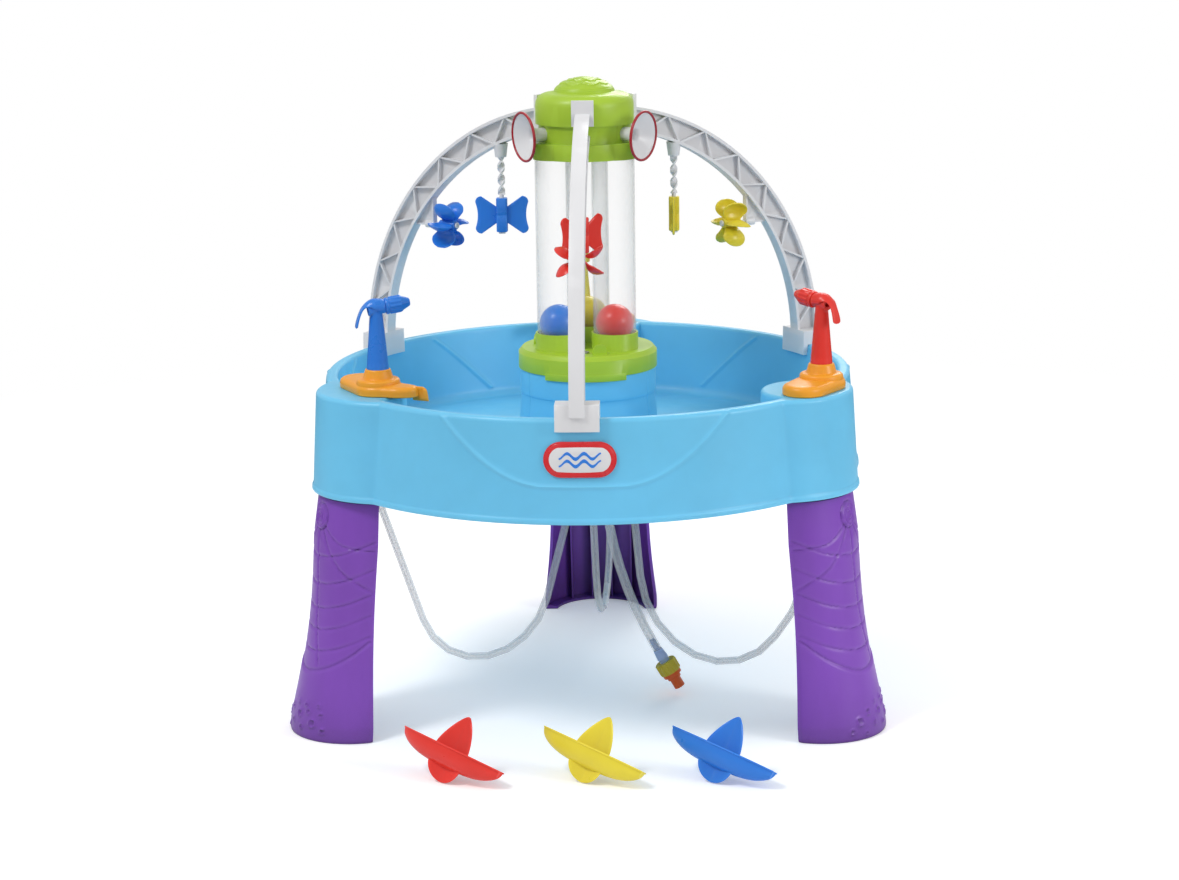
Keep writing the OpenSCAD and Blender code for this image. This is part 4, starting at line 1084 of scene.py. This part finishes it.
def build_stage():
    """A pale floor that fades to white far from the table."""
    size = 6.0
    mesh = bpy.data.meshes.new("floor")
    steps = 24
    grid = np.linspace(-size, size, steps)
    verts = [(x, y, -FLOOR_DROP) for y in grid for x in grid]
    mesh.from_pydata(verts, [], strip_faces(steps, steps, closed=False))
    floor = bpy.data.objects.new("floor", mesh)
    bpy.context.collection.objects.link(floor)
    n = Nodes("floor_pale")
    tone = n.ramp(n.noise(2.0, 2.0), [(0.3, (0.93, 0.93, 0.935, 1)), (0.7, (0.95, 0.95, 0.95, 1))])
    far = n.add("ShaderNodeVectorMath", operation="LENGTH")
    n.link(n.place, far.inputs[0])
    fade = n.range(far.outputs["Value"], 0.9, 2.4, 0.0, 1.0)
    n.link(n.mix(fade, tone, (0, 0, 0, 1)), n.surface.inputs["Base Color"])
    n.surface.inputs["Roughness"].default_value = 0.9
    n.surface.inputs["Specular IOR Level"].default_value = 0.0
    # Lifts the floor to the photograph's white for the camera only, and keeps its soft shadows
    seen = n.add("ShaderNodeLightPath").outputs["Is Camera Ray"]
    n.surface.inputs["Emission Color"].default_value = (1, 1, 1, 1)
    lift = n.range(fade, 0, 1, FLOOR_LIFT, 1.0)
    glow = n.add("ShaderNodeMath", operation="MULTIPLY")
    n.link(seen, glow.inputs[0])
    n.link(lift, glow.inputs[1])
    n.link(glow.outputs[0], n.surface.inputs["Emission Strength"])
    mesh.materials.append(n.material)


def area_light(name, place, aim, size, power):
    """A round soft light at a place, aimed at a point."""
    light = bpy.data.lights.new(name, "AREA")
    light.shape = "DISK"
    light.size = size
    light.energy = power
    obj = bpy.data.objects.new(name, light)
    bpy.context.collection.objects.link(obj)
    obj.location = place
    obj.rotation_euler = (Vector(aim) - Vector(place)).to_track_quat("-Z", "Y").to_euler()


def build_lights():
    """Soft studio light from the front left, the front right and behind, with a white surround."""
    world = bpy.data.worlds.new("studio")
    bpy.context.scene.world = world
    world.use_nodes = True
    tree = world.node_tree
    background = tree.nodes["Background"]
    background.inputs["Color"].default_value = (1, 1, 1, 1)
    seen = tree.nodes.new("ShaderNodeLightPath")
    strength = tree.nodes.new("ShaderNodeMapRange")
    strength.inputs["To Min"].default_value = 0.62
    strength.inputs["To Max"].default_value = 1.0
    tree.links.new(seen.outputs["Is Camera Ray"], strength.inputs["Value"])
    tree.links.new(strength.outputs["Result"], background.inputs["Strength"])
    area_light("key", (-1.9, -1.6, 3.4), (0, 0, 0.35), 1.0, 56)
    area_light("fill", (2.9, -1.6, 1.5), (0, 0, 0.4), 1.2, 32)
    area_light("back", (0.6, 2.6, 2.2), (0, 0, 0.5), 1.5, 30)


def build_camera():
    """Camera at the photograph's viewing angle, aimed at the table's axis at mid height."""
    distance = 3.6418
    elevation, azimuth, roll = (math.radians(angle) for angle in (12.51, 2.35, 0.79))
    target = Vector((0, 0, 0.3422))
    level = math.cos(elevation)
    back = Vector((math.sin(azimuth) * level, -math.cos(azimuth) * level, math.sin(elevation)))
    data = bpy.data.cameras.new("camera")
    data.sensor_width = 36.0
    data.lens = FOCAL_LENGTH / IMAGE_WIDTH * data.sensor_width
    data.clip_start = 0.05
    data.clip_end = 40.0
    data.shift_x = 0.5 / IMAGE_WIDTH
    camera = bpy.data.objects.new("camera", data)
    bpy.context.collection.objects.link(camera)
    camera.location = target + back * distance
    look = back.to_track_quat("Z", "Y").to_matrix()
    spin = Euler((0, 0, -roll)).to_matrix()
    camera.rotation_euler = (look @ spin).to_euler()
    bpy.context.scene.camera = camera


build_stage()
build_lights()
build_camera()
bpy.context.scene.view_settings.view_transform = "Standard"
bpy.context.scene.view_settings.look = "None"
